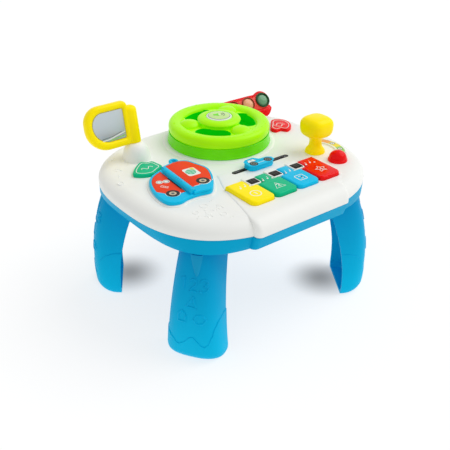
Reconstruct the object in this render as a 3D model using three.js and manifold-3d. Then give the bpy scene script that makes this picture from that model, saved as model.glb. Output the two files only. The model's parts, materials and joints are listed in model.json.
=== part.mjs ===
// Toy activity table: a rounded white play top on a blue lower housing with four hollow legs.
// Lengths are millimetres and +Z is up. The layout is worked out about the middle of the table
// top, with the floor at zero, the keys in front and the mirror at the back left. The finished
// group is moved at the end, so that the middle of its bounding box stands at the origin.
import * as THREE from "three";
import { mergeVertices } from "three/addons/utils/BufferGeometryUtils.js";
import Module from "manifold-3d";

// Fits and general walls
const fit = 0.3;
const overrun = 6;
const shellWall = 2.6;
const floorWall = 3;

// Facet counts
const bodySteps = 44;
const wheelSteps = 36;
const roundSteps = 20;
const lensSteps = 15;
const smallSteps = 10;
const tinySteps = 8;
const edgeSteps = 4;
const curveSteps = 3;
const outlineSteps = 27;

// Play top and lower housing
const housingBottomZ = 165;
const partingZ = 186;
const topZ = 207;
const rimLeftX = 185;
const rimRightX = 192;
const rimHalfY = 165;
const skirtInsetX = 14.2;
const skirtInsetY = 10.4;
const skirtHalfX = (rimLeftX + rimRightX) / 2 - skirtInsetX;
const skirtHalfY = rimHalfY - skirtInsetY;
const skirtPower = 3.67;
const rimPower = 2.65;
const rimBackPower = 3.2;
const rimWallHeight = 5;
const edgeWidth = 21;

// Console: the raised key area in front
const consoleLeftX = -88;
const consoleRightX = 81;
const consoleRise = 1.2;
const consoleReach = 1;
const consoleSkirtInset = 7.5;
const consoleFrontY = -rimHalfY - consoleReach;
const consoleSkirtFrontY = consoleFrontY + consoleSkirtInset;
const consoleFarX = 104;
const consoleSideShares = [[0, 0], [0.04, 0.17], [0.14, 0.36], [0.2, 0.53], [0.3, 0.76], [0.5, 1]];

// Legs
const legInsetX = 39.9;
const legInsetY = 51.2;
const legCornerX = skirtHalfX - legInsetX;
const legCornerY = skirtHalfY - legInsetY;
const legTurn = 33.3;
const footHalfWidth = 42.5;
const footDepth = 36.5;
const legTopHalfWidth = 29.5;
const legTopDepth = 54;
const legTopShift = -36.5;
const legBow = 12;
const legWall = 2.8;
const legPower = 2.8;
const soleThickness = 3;
const footEdge = 16;
const footSideShare = 0.35;
const legRings = 5;
const legSteps = 12;
const footRings = 3;
const spigotInset = 4;
const spigotHeight = 11;
const bootRise = 0.9;
const bootHeight = 70;
const bootRings = 2;
const bootShares = [[-1, 0.6], [-0.8, 0.56], [-0.63, 0.5], [-0.42, 0.4], [-0.19, 0.47], [-0.04, 0.6],
  [0.11, 0.65], [0.25, 0.57], [0.38, 0.46], [0.51, 0.41], [0.63, 0.46], [0.76, 0.63], [0.85, 0.82],
  [0.94, 0.94], [1, 1]];

// Steering wheel
const wheelRightMargin = 80.5;
const wheelRadius = 77.5;
const wheelX = rimRightX - wheelRightMargin - wheelRadius;
const wheelBackMargin = 14.5;
const wheelY = rimHalfY - wheelBackMargin - wheelRadius;
const rimTubeWidth = 26;
const rimTubeHeight = 19;
const rimTubePower = 3;
const rimTubeStart = -150;
const rimTubeEnd = 145;
const rimCentreZ = 231.5;
const webBottomZ = 228;
const webTopZ = 237;
const hubRadius = 31;
const hubTopZ = 247;
const hubBottomZ = 224.3;
const hubBottomRadius = 24;
const hubEdge = 5;
const hubRecessDepth = 5.5;
const gapInnerRadius = 33.5;
const gapOuterRadius = 51;
const gapHalfAngle = 23;
const spokeCount = 3;
const spokeFirstAngle = 40;
const lobeLength = 32;
const lobeWidth = 30;
const lobeCentreRadius = 46;
const lobeRise = 8;
const axleRadius = 4;
const axleHeadRadius = 8;
const axleHeadHeight = 2;
const axleBossRadius = 9;
const axleBossDepth = 14;
const baseWall = 3;
const baseFloor = 2.5;
const baseTopZ = 220.6;
const baseLean = 1;
const baseBossRadius = 13;
const plinthMargin = 8;
const plinthRise = 1.6;
const plinthDrop = 14;

// Horn button in the hub
const hornRadius = 20.5;
const hornThickness = 4.4;
const hornDome = 1.4;
const hornCrownShare = 0.75;
const hornTravel = 2;
const hornEdge = 1;
const hornWall = 1.8;

// Keys
const keyCount = 4;
const keyPitch = 40.5;
const keysLeftX = -63;
const keyMargin = 39;
const keyLength = 61;
const keyFrontY = consoleFrontY + keyMargin;
const keyBackY = keyFrontY + keyLength;
const keyTopZ = 214;
const keyBottomZ = 198;
const keySpacing = 1.2;
const keyCorner = 8;
const keyEdge = 3.2;
const notchHalfWidth = 10.5;
const notchDepth = 20;
const notchCorner = 4;
const keyHoleClearance = 0.8;
const keySwing = 3;
const hingeRodRadius = 1.5;
const hingeRodSetback = 6;
const hingeRodY = keyBackY + hingeRodSetback;
const hingeRodZ = 199.5;
const hingeLugRadius = 3.4;
const hingeLugWidth = 8;
const rodBracketWidth = 4;
const blockRise = 5;
const blockEdge = 1.2;
const pressGap = 0.4;
const inlayWidth = 14;
const inlayDepth = 9.5;
const inlaySink = 1;
const inlayStand = 0.4;

// Slider
const slotLeftX = -22;
const slotRightX = 78;
const slotSetback = 32;
const slotMargin = 10;
const slotY = keyBackY + slotSetback;
const consoleBackY = slotY + slotMargin;
const slotWidth = 4.4;
const carX = 22;
const carOffset = 2.5;
const carY = slotY - carOffset;
const carLength = 43;
const carDepth = 22;
const carHeight = 8.5;
const carEdge = 1.4;
const carShares = [[-0.5, -0.32], [-0.5, 0.3], [-0.36, 0.5], [-0.06, 0.5], [0.08, 0.14], [0.4, 0.1],
  [0.5, -0.08], [0.5, -0.32], [0.36, -0.5], [-0.36, -0.5]];
const stemLength = 7;
const clipLength = 14;
const clipWidth = 12;
const clipThickness = 2;
const clipPostRadius = 1.2;

// Mirror
const mirrorInsetX = 82;
const mirrorInsetY = 67;
const mirrorX = mirrorInsetX - rimLeftX;
const mirrorY = rimHalfY - mirrorInsetY;
const mirrorLean = 12;
const podTopZ = 230.6;
const podTopRadius = 13;
const podFootRadius = 19;
const podCorner = 2;
const podFootDepth = 26;
const postRadius = 9.6;
const postHeight = 54;
const postDome = 6;
const postCapAngle = 30;
const mirrorWidth = 69.5;
const mirrorHeight = 63;
const mirrorDepth = 15;
const mirrorEdge = 4.5;
const mirrorLowCorner = 33;
const mirrorHighCorner = 24;
const mirrorPostCorner = 8;
const mirrorPostOverlap = 5;
const mirrorLift = 1;
const frameSideBorder = 10.5;
const frameHighBorder = 10;
const frameLowBorder = 10;
const framePostBorder = 8;
const windowCorner = 3;
const glassRecess = 5;
const glassThickness = 1.5;
const mirrorPinRadius = 3;
const mirrorPinLength = 30;
const mirrorPinInPost = 15;

// Gear lever and its dial
const gearInset = 68;
const gearX = rimRightX - gearInset;
const gearFromDome = 42;
const gearKnobHalf = 21.5;
const gearTopZ = 263;
const gearShares = [[0, 0.69, 2.2], [0.08, 0.62, 2.2], [0.18, 0.45, 2.2], [0.36, 0.4, 2.2],
  [0.45, 0.52, 2.5], [0.56, 0.84, 3], [0.68, 0.99, 3.2], [0.8, 1, 3.4], [0.9, 0.93, 3.2],
  [0.97, 0.74, 3], [1, 0.5, 2.6]];
const gearStemRadius = 7;
const gearSpigotRadius = 3;
const retainerRadius = 11;
const retainerThickness = 2;
const dialOuterRadius = 47;
const dialInnerRadius = 32;
const dialStartAngle = -44;
const dialEndAngle = 40;
const dialThickness = 0.8;
const dialSeatRise = 0.5;
const dialSeatMargin = 2;
const dialSeatDrop = 5;

// Press buttons
const domeInsetX = 62;
const domeInsetY = 76;
const domeX = rimRightX - domeInsetX;
const domeY = domeInsetY - rimHalfY;
const gearY = domeY + gearFromDome;
const domeRadius = 14.4;
const domeHeight = 15.5;
const domeStep = 1.4;
const domeStepHeight = 4;
const domeTravel = 3;
const smallTravel = 2;
const smallRise = 5;
const smallEdge = 1.2;
const greenInsetX = 70;
const greenInsetY = 119;
const greenX = greenInsetX - rimLeftX;
const greenY = rimHalfY - greenInsetY;
const redInsetX = 49;
const redInsetY = 113;
const redX = rimRightX - redInsetX;
const redY = rimHalfY - redInsetY;
const buttonHalf = 24;
const greenShares = [[-1.06, -0.17], [-0.34, 0.7], [0.2, 0.98], [0.46, 0.74], [0.76, 0.7], [0.88, 0.25],
  [0.9, -0.2], [0.42, -0.5], [-0.06, -0.74], [-0.66, -0.6]];
const redShares = [[-0.88, -0.02], [-0.42, 0.5], [0.13, 1.04], [0.52, 0.98], [0.86, 0.56], [0.82, -0.04],
  [0.4, -0.6], [-0.12, -0.8], [-0.36, -0.46], [-0.8, -0.44]];
const lipWidth = 1.8;
const lipThickness = 1.6;
const padRadius = 4;
const padHeight = 2.4;

// Book
const bookInset = 83.5;
const bookX = bookInset - rimLeftX;
const bookFromButton = 60.5;
const bookY = greenY - bookFromButton;
const bookHalfX = 50.5;
const bookHalfY = 50.5;
const bookShares = [[0.13, 0.9], [-0.17, 0.82], [-0.5, 0.66], [-0.74, 0.39], [-0.92, -0.05], [-1, -0.54],
  [-0.94, -0.88], [-0.68, -1], [-0.37, -0.93], [-0.01, -0.93], [0.33, -0.98], [0.58, -0.76], [0.88, -0.29],
  [1, 0.09], [0.92, 0.47], [0.8, 0.8], [0.5, 0.96]];
const trayHeight = 4.5;
const trayRim = 4.4;
const trayPocket = 2.6;
const trayEdge = 1;
const pageThickness = 2;
const bookPlinthRise = 1.6;
const bookPlinthMargin = 3;
const leafThickness = 3.4;
const leafEdge = 0.8;
const leafRim = 3;
const leafPageDepth = 1.2;
const spineOffset = 5.5;
const spineX = bookX - spineOffset;
const spineY = bookY - spineOffset;
const spineTurn = -4.6;
const spineRadius = 4.4;
const spineLength = 76;
const spineLift = 2.4;
const spinePinRadius = 1.5;
const leafGap = 0.6;
const tabRadius = 7;
const tabBoreRadius = 3.4;
const tabAlong = 56;
const tabAcross = 30;
const knuckleLength = 8;

// Traffic light
const lightsInsetX = 58.5;
const lightsInset = 40;
const lightsX = rimRightX - lightsInsetX;
const lightsY = rimHalfY - lightsInset;
const lightsZ = 228;
const lightsTurn = -7;
const lightsLeft = 41;
const lightsRight = 50;
const wheelClearance = 1.2;
const lightsDepth = 20;
const lightsEdge = 4.5;
const lightsRimInset = 0.5;
const lightsFrontCorner = 14;
const lightsBackCorner = 9;
const faceTilt = 50;
const faceLength = 35;
const facePlateLength = 74;
const facePlateWidth = 27;
const facePlateThickness = 1.4;
const lensCount = 3;
const lensPitch = 29;
const lensRadius = 9.8;
const lensRise = 3.4;
const lensShares = [[1, 0], [0.8, 0.6], [0.4, 0.9]];
const lensPocketDepth = 3;
const visorThickness = 1.6;
const visorReach = 6;

// Underside and inside
const batteryRadius = 7.2;
const batteryLength = 50;
const batteryCount = 3;
const batteryPitch = 15.2;
const batteryTip = 1.4;
const batteryTipRadius = 2.6;
const batteryX = 0;
const batteryInset = 105;
const batteryY = rimHalfY - batteryInset;
const batteryWall = 2.4;
const coverThickness = 3.4;
const coverMargin = 4;
const coverCorner = 4;
const coverTab = 12;
const bayRoof = 2;
const coverScrewLength = 14;
const speakerX = -70;
const speakerY = -30;
const speakerRadius = 26;
const speakerHeight = 12;
const speakerConeRadius = 21;
const speakerConeDepth = 7;
const speakerRingWall = 2;
const speakerRingHeight = 4;
const grilleCount = 5;
const grillePitch = 7;
const grilleSlotWidth = 2.6;
const switchX = 70;
const switchY = batteryY;
const switchLength = 12;
const switchWidth = 6;
const switchThickness = 5;
const switchTravel = 4;
const boardThickness = 1.6;
const boardTopZ = 190;
const boardPostRadius = 4;
const postRadiusInside = 5;
const keyPadRadius = 5;
const sideScrewInset = 33;
const sideScrewShift = 4;
const frontScrewInset = 20;
const backScrewInset = 35;
const middleScrewX = -20;
const screwSpots = [
  [sideScrewInset - rimLeftX, 0],
  [rimRightX - sideScrewInset - 2 * sideScrewShift, sideScrewShift],
  [middleScrewX, frontScrewInset - rimHalfY],
  [middleScrewX, rimHalfY - backScrewInset],
];
const screwHeadRadius = 3.4;
const screwHeadHeight = 2;
const screwShankRadius = 1.5;
const screwSink = 9;
const screwLength = 28;
const pillarRadius = 5;

const wasm = await Module();
wasm.setup();

const radians = THREE.MathUtils.degToRad;
const { lerp } = THREE.MathUtils;
const table = new THREE.Group();

function paint(colour, roughness = 0.38, metalness = 0) {
  return new THREE.MeshStandardMaterial({ color: colour, roughness, metalness });
}

const white = paint(0xf4f4f1, 0.42);
const blue = paint(0x009ed0, 0.4);
const yellow = paint(0xfadc00, 0.36);
const wheelGreen = paint(0x9ee600, 0.3);
const cupGreen = paint(0x35c400, 0.3);
const red = paint(0xee1010, 0.34);
const teal = paint(0x00bf85, 0.36);
const cyan = paint(0x00bdf0, 0.36);
const orange = paint(0xfa4b2d, 0.4);
const charcoal = paint(0x3c3836, 0.5);
const steel = paint(0xb4b8bc, 0.3, 1);
const rubber = paint(0x6c6f73, 0.8);
const silver = paint(0xaab4bf, 0.08, 1);
const pale = paint(0xe2f6cf, 0.35);
const salmon = paint(0xf46a52, 0.25);
const amber = paint(0xe8a860, 0.2);
const lensGreen = paint(0x6fae86, 0.2);
const circuitGreen = paint(0x1f6b45, 0.6);

// Turns a closed geometry into a solid that can be joined and cut.
function solid(geometry) {
  const bare = geometry.clone();
  bare.deleteAttribute("normal");
  bare.deleteAttribute("uv");
  const merged = mergeVertices(bare);
  return new wasm.Manifold(new wasm.Mesh({
    numProp: 3,
    vertProperties: new Float32Array(merged.getAttribute("position").array),
    triVerts: new Uint32Array(merged.index.array),
  }));
}

// Turns a finished solid back into a named mesh.
function addPiece(name, shape, material, group = table) {
  const data = shape.getMesh();
  const geometry = new THREE.BufferGeometry();
  geometry.setAttribute("position", new THREE.BufferAttribute(new Float32Array(data.vertProperties), 3));
  geometry.setIndex(new THREE.BufferAttribute(new Uint32Array(data.triVerts), 1));
  geometry.computeVertexNormals();
  const mesh = new THREE.Mesh(geometry, material);
  mesh.name = name;
  group.add(mesh);
}

function join(shapes) {
  return shapes.reduce((whole, shape) => whole.add(shape));
}

function cut(shape, tools) {
  return tools.reduce((whole, tool) => whole.subtract(tool), shape);
}

// A placed group, whose matrix also places the cuts that its pieces need in other pieces.
function frameAt(x, y, z, turnX = 0, turnZ = 0) {
  const frame = new THREE.Group();
  frame.rotation.order = "ZYX";
  frame.position.set(x, y, z);
  frame.rotation.set(radians(turnX), 0, radians(turnZ));
  frame.updateMatrixWorld(true);
  table.add(frame);
  return frame;
}

function placed(geometry, frame) {
  return geometry.clone().applyMatrix4(frame.matrixWorld);
}

// Points of a rounded oval, anticlockwise. A power of 2 is an ellipse, more is squarer.
function ovalPoints(halfX, halfY, power, steps = bodySteps) {
  const points = [];
  for (let i = 0; i < steps; i += 1) {
    const angle = (2 * Math.PI * i) / steps;
    const reach = (Math.abs(Math.cos(angle) / halfX) ** power
      + Math.abs(Math.sin(angle) / halfY) ** power) ** (-1 / power);
    points.push(new THREE.Vector2(reach * Math.cos(angle), reach * Math.sin(angle)));
  }
  return points;
}

// Skins equal rings of points from the lowest to the highest and caps both ends.
function loft(sections) {
  const count = sections[0].points.length;
  const positions = [];
  const index = [];
  for (const section of sections) {
    for (const point of section.points) positions.push(point.x, point.y, section.z);
  }
  for (let start = 0; start < (sections.length - 1) * count; start += count) {
    for (let i = 0; i < count; i += 1) {
      const a = start + i;
      const b = start + ((i + 1) % count);
      index.push(a, b, b + count, a, b + count, a + count);
    }
  }
  const last = sections.length - 1;
  for (const [a, b, c] of THREE.ShapeUtils.triangulateShape(sections[0].points, [])) index.push(a, c, b);
  for (const [a, b, c] of THREE.ShapeUtils.triangulateShape(sections[last].points, [])) {
    index.push(last * count + a, last * count + b, last * count + c);
  }
  const geometry = new THREE.BufferGeometry();
  geometry.setAttribute("position", new THREE.Float32BufferAttribute(positions, 3));
  geometry.setIndex(index);
  return geometry;
}

// An upright plate between two heights, its edges rounded inwards.
function prism(shape, bottom, top, edge = 0, steps = 2) {
  const geometry = new THREE.ExtrudeGeometry(shape, {
    depth: top - bottom - 2 * edge,
    bevelEnabled: edge > 0,
    bevelThickness: edge,
    bevelSize: edge,
    bevelOffset: -edge,
    bevelSegments: steps,
    curveSegments: curveSteps,
  });
  return geometry.translate(0, 0, bottom + edge);
}

// A rounded rectangle whose corners may differ: front right, back right, back left, front left
function roundedRect(left, right, front, back, corners) {
  const radii = Array.isArray(corners) ? corners : Array(4).fill(corners);
  const [frontRight, backRight, backLeft, frontLeft] = radii;
  const shape = new THREE.Shape();
  shape.moveTo(left + frontLeft, front);
  shape.absarc(right - frontRight, front + frontRight, frontRight, -Math.PI / 2, 0, false);
  shape.absarc(right - backRight, back - backRight, backRight, 0, Math.PI / 2, false);
  shape.absarc(left + backLeft, back - backLeft, backLeft, Math.PI / 2, Math.PI, false);
  shape.absarc(left + frontLeft, front + frontLeft, frontLeft, Math.PI, 1.5 * Math.PI, false);
  return shape;
}

function centredRect(width, depth, corner, x = 0, y = 0) {
  return roundedRect(x - width / 2, x + width / 2, y - depth / 2, y + depth / 2, corner);
}

function box(left, right, front, back, bottom, top) {
  return new THREE.BoxGeometry(right - left, back - front, top - bottom)
    .translate((left + right) / 2, (front + back) / 2, (bottom + top) / 2);
}

function disc(radius, bottom, top, x = 0, y = 0, steps = roundSteps) {
  return new THREE.CylinderGeometry(radius, radius, top - bottom, steps)
    .rotateX(Math.PI / 2).translate(x, y, (top + bottom) / 2);
}

function rodAlongX(radius, fromX, toX, y, z, steps = smallSteps) {
  return new THREE.CylinderGeometry(radius, radius, toX - fromX, steps)
    .rotateZ(Math.PI / 2).translate((fromX + toX) / 2, y, z);
}

function rodAlongY(radius, fromY, toY, x, z, steps = smallSteps) {
  return new THREE.CylinderGeometry(radius, radius, toY - fromY, steps).translate(x, (fromY + toY) / 2, z);
}

// Revolves a closed or axis-to-axis profile of radius and height about an upright axis.
function turned(profile, steps = roundSteps, x = 0, y = 0) {
  const points = profile.map(([radius, height]) => new THREE.Vector2(radius, height));
  if (THREE.ShapeUtils.area(points) < 0) points.reverse();
  return new THREE.LatheGeometry(points, steps).rotateX(Math.PI / 2).translate(x, y, 0);
}

function arcPoints(centreX, centreZ, halfX, halfZ, startAngle, endAngle, steps) {
  return Array.from({ length: steps + 1 }, (_, i) => {
    const angle = radians(startAngle + ((endAngle - startAngle) * i) / steps);
    return [centreX + halfX * Math.cos(angle), centreZ + halfZ * Math.sin(angle)];
  });
}

// A smooth closed outline through shares of its half sizes, grown outwards by a margin
function splineOutline(shares, halfX, halfY, growth = 0, steps = outlineSteps) {
  const knots = shares.map(([x, y]) => new THREE.Vector3(x * (halfX + growth), y * (halfY + growth), 0));
  const curve = new THREE.CatmullRomCurve3(knots, true, "centripetal");
  return new THREE.Shape(curve.getPoints(steps).slice(0, -1).map((p) => new THREE.Vector2(p.x, p.y)));
}

// Turns a sine or cosine into that of a squarer oval.
function squared(value, power) {
  return Math.sign(value) * Math.abs(value) ** (2 / power);
}

// Layout worked out from the sizes above
const rimWallTop = partingZ + rimWallHeight;
const consoleTopZ = topZ + consoleRise;
const plateUnderZ = topZ - shellWall;
const floorTopZ = housingBottomZ + floorWall;
const keyRightX = keysLeftX + keyPitch * keyCount;
const keyUnderZ = consoleTopZ - shellWall;
const wheelSeatZ = topZ + plinthRise;
const baseBottomZ = wheelSeatZ + fit;
const traySeatZ = topZ + bookPlinthRise;
const trayBaseZ = traySeatZ + fit;
const trayTopZ = trayBaseZ + trayHeight;
const bayHalfX = batteryLength / 2 + batteryTip + fit * 2;
const bayHalfY = (batteryPitch * batteryCount) / 2 + fit;
const coverTopZ = housingBottomZ + coverThickness;
const batteryZ = coverTopZ + batteryRadius + fit * 2;
const bayTopZ = batteryZ + batteryRadius + fit;
const lipTopZ = plateUnderZ - fit;
const lipBottomZ = lipTopZ - lipThickness;
const legTopZ = housingBottomZ - fit;
const mirrorFrame = frameAt(mirrorX, mirrorY, podTopZ, -mirrorLean);
const spineZ = trayTopZ + spineLift;
const spineFrame = frameAt(spineX, spineY, spineZ, 0, spineTurn);
const lightsFrame = frameAt(lightsX, lightsY, lightsZ, 0, lightsTurn);
const faceRun = (faceLength / 2) * Math.cos(radians(faceTilt));
const faceFrame = frameAt(lightsX, lightsY, lightsZ, faceTilt, lightsTurn);

// Outline of the rim: wider to the right and squarer at the back right
function rimPoints(inset) {
  const left = ovalPoints(rimLeftX - inset, rimHalfY - inset, rimPower);
  const right = ovalPoints(rimRightX - inset, rimHalfY - inset, rimPower);
  const back = ovalPoints(rimRightX - inset, rimHalfY - inset, rimBackPower);
  return left.map((point, i) => {
    if (point.x < 0) return point;
    return point.y > 0 ? back[i] : right[i];
  });
}

// The play top's bowed skin, or the hollow under it when inset by the wall
function topSkin(inset, bottom) {
  const sections = [{ points: rimPoints(inset), z: bottom }];
  const edgeHeight = topZ - inset - rimWallTop;
  for (let i = 0; i <= edgeSteps; i += 1) {
    const angle = (Math.PI / 2) * (i / edgeSteps);
    const draw = inset + edgeWidth * (1 - Math.cos(angle));
    sections.push({ points: rimPoints(draw), z: rimWallTop + edgeHeight * Math.sin(angle) });
  }
  return solid(loft(sections));
}

// Plan of the key area: its left side is the curved crease on the play top.
function consolePlan(inset) {
  const front = consoleFrontY - overrun;
  const depth = consoleBackY - front;
  const plan = new THREE.Shape();
  plan.moveTo(consoleFarX - inset, consoleBackY - inset);
  const side = consoleSideShares.map(([across, along]) => new THREE.Vector2(
    consoleLeftX * (1 - across) + inset,
    front + along * (depth - inset),
  )).reverse();
  plan.lineTo(side[0].x, side[0].y);
  plan.splineThru(side.slice(1));
  plan.lineTo(consoleRightX - inset, front);
  plan.lineTo(consoleRightX - inset, consoleFrontY + edgeWidth / 2);
  plan.lineTo(consoleFarX - inset, consoleFrontY + edgeWidth * 2);
  return plan;
}

// A profile of depth and height drawn along the table's length
function drawnAlongX(profile, left, right, edge = 0) {
  const body = new THREE.ExtrudeGeometry(profile, {
    depth: right - left - 2 * edge,
    bevelEnabled: edge > 0,
    bevelThickness: edge,
    bevelSize: edge,
    bevelOffset: -edge,
    bevelSegments: edgeSteps,
    curveSegments: curveSteps,
  });
  const turn = new THREE.Matrix4().makeBasis(
    new THREE.Vector3(0, 1, 0),
    new THREE.Vector3(0, 0, 1),
    new THREE.Vector3(1, 0, 0),
  );
  return body.applyMatrix4(turn).translate(left + edge, 0, 0);
}

// The key area's front is straight where the skin beside it is bowed.
function consoleBlock(inset, bottom) {
  const front = consoleFrontY + inset;
  const top = consoleTopZ - inset;
  const profile = new THREE.Shape();
  profile.moveTo(front, bottom);
  profile.lineTo(consoleBackY, bottom);
  profile.lineTo(consoleBackY, top);
  for (let i = 0; i <= edgeSteps; i += 1) {
    const angle = (Math.PI / 2) * (1 - i / edgeSteps);
    const height = rimWallTop + (top - rimWallTop) * Math.sin(angle);
    profile.lineTo(front + edgeWidth * (1 - Math.cos(angle)), height);
  }
  const body = solid(drawnAlongX(profile, -rimLeftX, rimRightX));
  return body.intersect(solid(prism(consolePlan(inset), bottom, topZ + overrun)));
}

// Plan of one key: full width in front, notched beside each dark inlay at the back
function keyPlan(order, growth) {
  const left = keysLeftX + keyPitch * order + keySpacing / 2 - growth;
  const right = left + keyPitch - keySpacing + 2 * growth;
  const back = keyBackY + growth;
  const front = keyFrontY - growth;
  const notchFront = keyBackY - notchDepth + growth;
  const leftBack = order > 0 ? left + notchHalfWidth : left;
  const rightBack = order < keyCount - 1 ? right - notchHalfWidth : right;
  const plan = new THREE.Shape();
  plan.moveTo(left + keyCorner, front);
  plan.absarc(right - keyCorner, front + keyCorner, keyCorner, -Math.PI / 2, 0, false);
  if (rightBack < right) {
    plan.absarc(right - notchCorner, notchFront - notchCorner, notchCorner, 0, Math.PI / 2, false);
    plan.lineTo(rightBack, notchFront);
  }
  plan.lineTo(rightBack, back);
  plan.lineTo(leftBack, back);
  if (leftBack > left) {
    plan.lineTo(leftBack, notchFront);
    plan.absarc(left + notchCorner, notchFront - notchCorner, notchCorner, Math.PI / 2, Math.PI, false);
  }
  plan.absarc(left + keyCorner, front + keyCorner, keyCorner, Math.PI, 1.5 * Math.PI, false);
  return plan;
}

// Place of each key's hinge lug: beside the dark inlays at the ends of the row
function lugX(order) {
  const shift = order === 0 ? -0.5 : order === keyCount - 1 ? 0.5 : 0;
  return keysLeftX + keyPitch * (order + 0.5) + shift * notchHalfWidth;
}

function addKeys() {
  const looks = [["key_yellow", yellow], ["key_teal", teal], ["key_blue", cyan], ["key_red", red]];
  const armTop = hingeRodZ + hingeLugRadius;
  looks.forEach(([name, material], order) => {
    const left = lugX(order) - hingeLugWidth / 2;
    const right = left + hingeLugWidth;
    const lug = solid(rodAlongX(hingeLugRadius, left, right, hingeRodY, hingeRodZ, tinySteps));
    const arm = solid(box(left, right, keyBackY - keyEdge * 2, hingeRodY, hingeRodZ, armTop));
    const body = solid(prism(keyPlan(order, 0), keyBottomZ, keyTopZ, keyEdge));
    const bore = rodAlongX(hingeRodRadius + fit, left - fit, right + fit, hingeRodY, hingeRodZ, tinySteps);
    addPiece(name, join([body, lug, arm]).subtract(solid(bore)), material);
  });
  const rod = rodAlongX(hingeRodRadius, keysLeftX + fit, keyRightX - fit, hingeRodY, hingeRodZ, tinySteps);
  addPiece("key_hinge_rod", solid(rod), steel);
}

const inlayY = keyBackY - notchDepth / 2;
const blockTopZ = consoleTopZ + blockRise;

function inlayBox(x, growth, bottom, top) {
  const halfX = inlayWidth / 2 + growth;
  const halfY = inlayDepth / 2 + growth;
  return box(x - halfX, x + halfX, inlayY - halfY, inlayY + halfY, bottom, top);
}

// The white blocks that stand in the notches between the keys, with a recess for each inlay
function keyBlocks() {
  const shapes = [];
  for (let order = 1; order < keyCount; order += 1) {
    const x = keysLeftX + keyPitch * order;
    const half = notchHalfWidth - keyHoleClearance;
    const front = keyBackY - notchDepth + keyHoleClearance;
    const plan = roundedRect(x - half, x + half, front, hingeRodY, notchCorner);
    const block = solid(prism(plan, plateUnderZ, blockTopZ, blockEdge, 1));
    const seat = inlayBox(x, fit, blockTopZ - inlaySink, blockTopZ + overrun);
    shapes.push(block.subtract(solid(seat)));
  }
  return shapes;
}

function addInlays() {
  for (let order = 1; order < keyCount; order += 1) {
    const x = keysLeftX + keyPitch * order;
    const plate = inlayBox(x, 0, blockTopZ - inlaySink + fit, blockTopZ + inlayStand);
    addPiece(`black_key_${order}`, solid(plate), charcoal);
  }
}

// Ribs under the console that carry the hinge rod between the lugs
function rodBrackets() {
  return Array.from({ length: keyCount + 1 }, (_, i) => {
    const x = lerp(keysLeftX + rodBracketWidth, keyRightX - rodBracketWidth, i / keyCount);
    const left = x - rodBracketWidth / 2;
    const right = x + rodBracketWidth / 2;
    const front = hingeRodY - hingeLugRadius;
    const back = hingeRodY + hingeLugRadius;
    const rib = box(left, right, front, back, hingeRodZ - hingeLugRadius, keyUnderZ + fit);
    const bore = rodAlongX(hingeRodRadius + fit, left - fit, right + fit, hingeRodY, hingeRodZ, tinySteps);
    return solid(rib).subtract(solid(bore));
  });
}

function keyHoles() {
  return Array.from({ length: keyCount }, (_, order) => (
    solid(prism(keyPlan(order, keyHoleClearance), partingZ, keyTopZ + overrun))
  ));
}

// The slider's slot, grown by a clearance, with round ends
function slotPlan(growth) {
  const half = slotWidth / 2 + growth;
  return roundedRect(slotLeftX - growth, slotRightX + growth, slotY - half, slotY + half, half);
}

function addSlider() {
  const seat = consoleTopZ + fit;
  const plan = carShares.map(([x, y]) => new THREE.Vector2(carX + x * carLength, carY + y * carDepth));
  const body = solid(prism(new THREE.Shape(plan), seat, seat + carHeight, carEdge));
  const half = slotWidth / 2 - fit;
  const foot = keyUnderZ - fit;
  const stemPlan = centredRect(stemLength, 2 * half, fit, carX, slotY);
  const stem = solid(prism(stemPlan, foot + fit, seat + carHeight / 2));
  const post = solid(disc(clipPostRadius, foot - clipThickness, seat, carX, slotY, tinySteps));
  addPiece("slider_car", join([body, stem, post]), cyan);
  const clipPlan = centredRect(clipLength, clipWidth, clipPostRadius, carX, slotY);
  const clip = solid(prism(clipPlan, foot - clipThickness, foot));
  const bore = solid(disc(clipPostRadius + fit, foot - overrun, foot + fit, carX, slotY, tinySteps));
  addPiece("slider_clip", clip.subtract(bore), white);
}

// Wheel plinth: a low round rise under the steering wheel, kept within the play top's outline
function wheelPlinth(inset, bottom) {
  const radius = wheelRadius + plinthMargin - inset;
  const top = wheelSeatZ - inset;
  const rise = turned([
    [0, bottom], [radius + plinthRise, bottom], [radius + plinthRise, top - 2 * plinthRise],
    [radius, top - plinthRise / 2], [radius - plinthRise, top], [0, top],
  ], wheelSteps, wheelX, wheelY);
  const bounds = loft([
    { points: rimPoints(shellWall + inset), z: bottom },
    { points: rimPoints(edgeWidth / 2 + inset), z: top },
  ]);
  return solid(rise).intersect(solid(bounds));
}

function wheelBaseProfile() {
  const foot = wheelRadius + baseLean;
  const inner = wheelRadius - baseWall;
  return [
    [axleRadius + fit, baseBottomZ], [foot - baseLean, baseBottomZ], [foot, baseBottomZ + baseLean],
    [wheelRadius, baseTopZ - baseLean], [wheelRadius - baseLean, baseTopZ], [inner, baseTopZ - baseLean],
    [inner, baseBottomZ + baseFloor], [baseBossRadius, baseBottomZ + baseFloor],
    [baseBossRadius, hubBottomZ - fit], [axleRadius + fit, hubBottomZ - fit],
    [axleRadius + fit, baseBottomZ],
  ];
}

const rimCentreRadius = wheelRadius - rimTubeWidth / 2;
const hubRecessRadius = hornRadius + fit;
const hubRecessZ = hubTopZ - hubRecessDepth;

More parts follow.
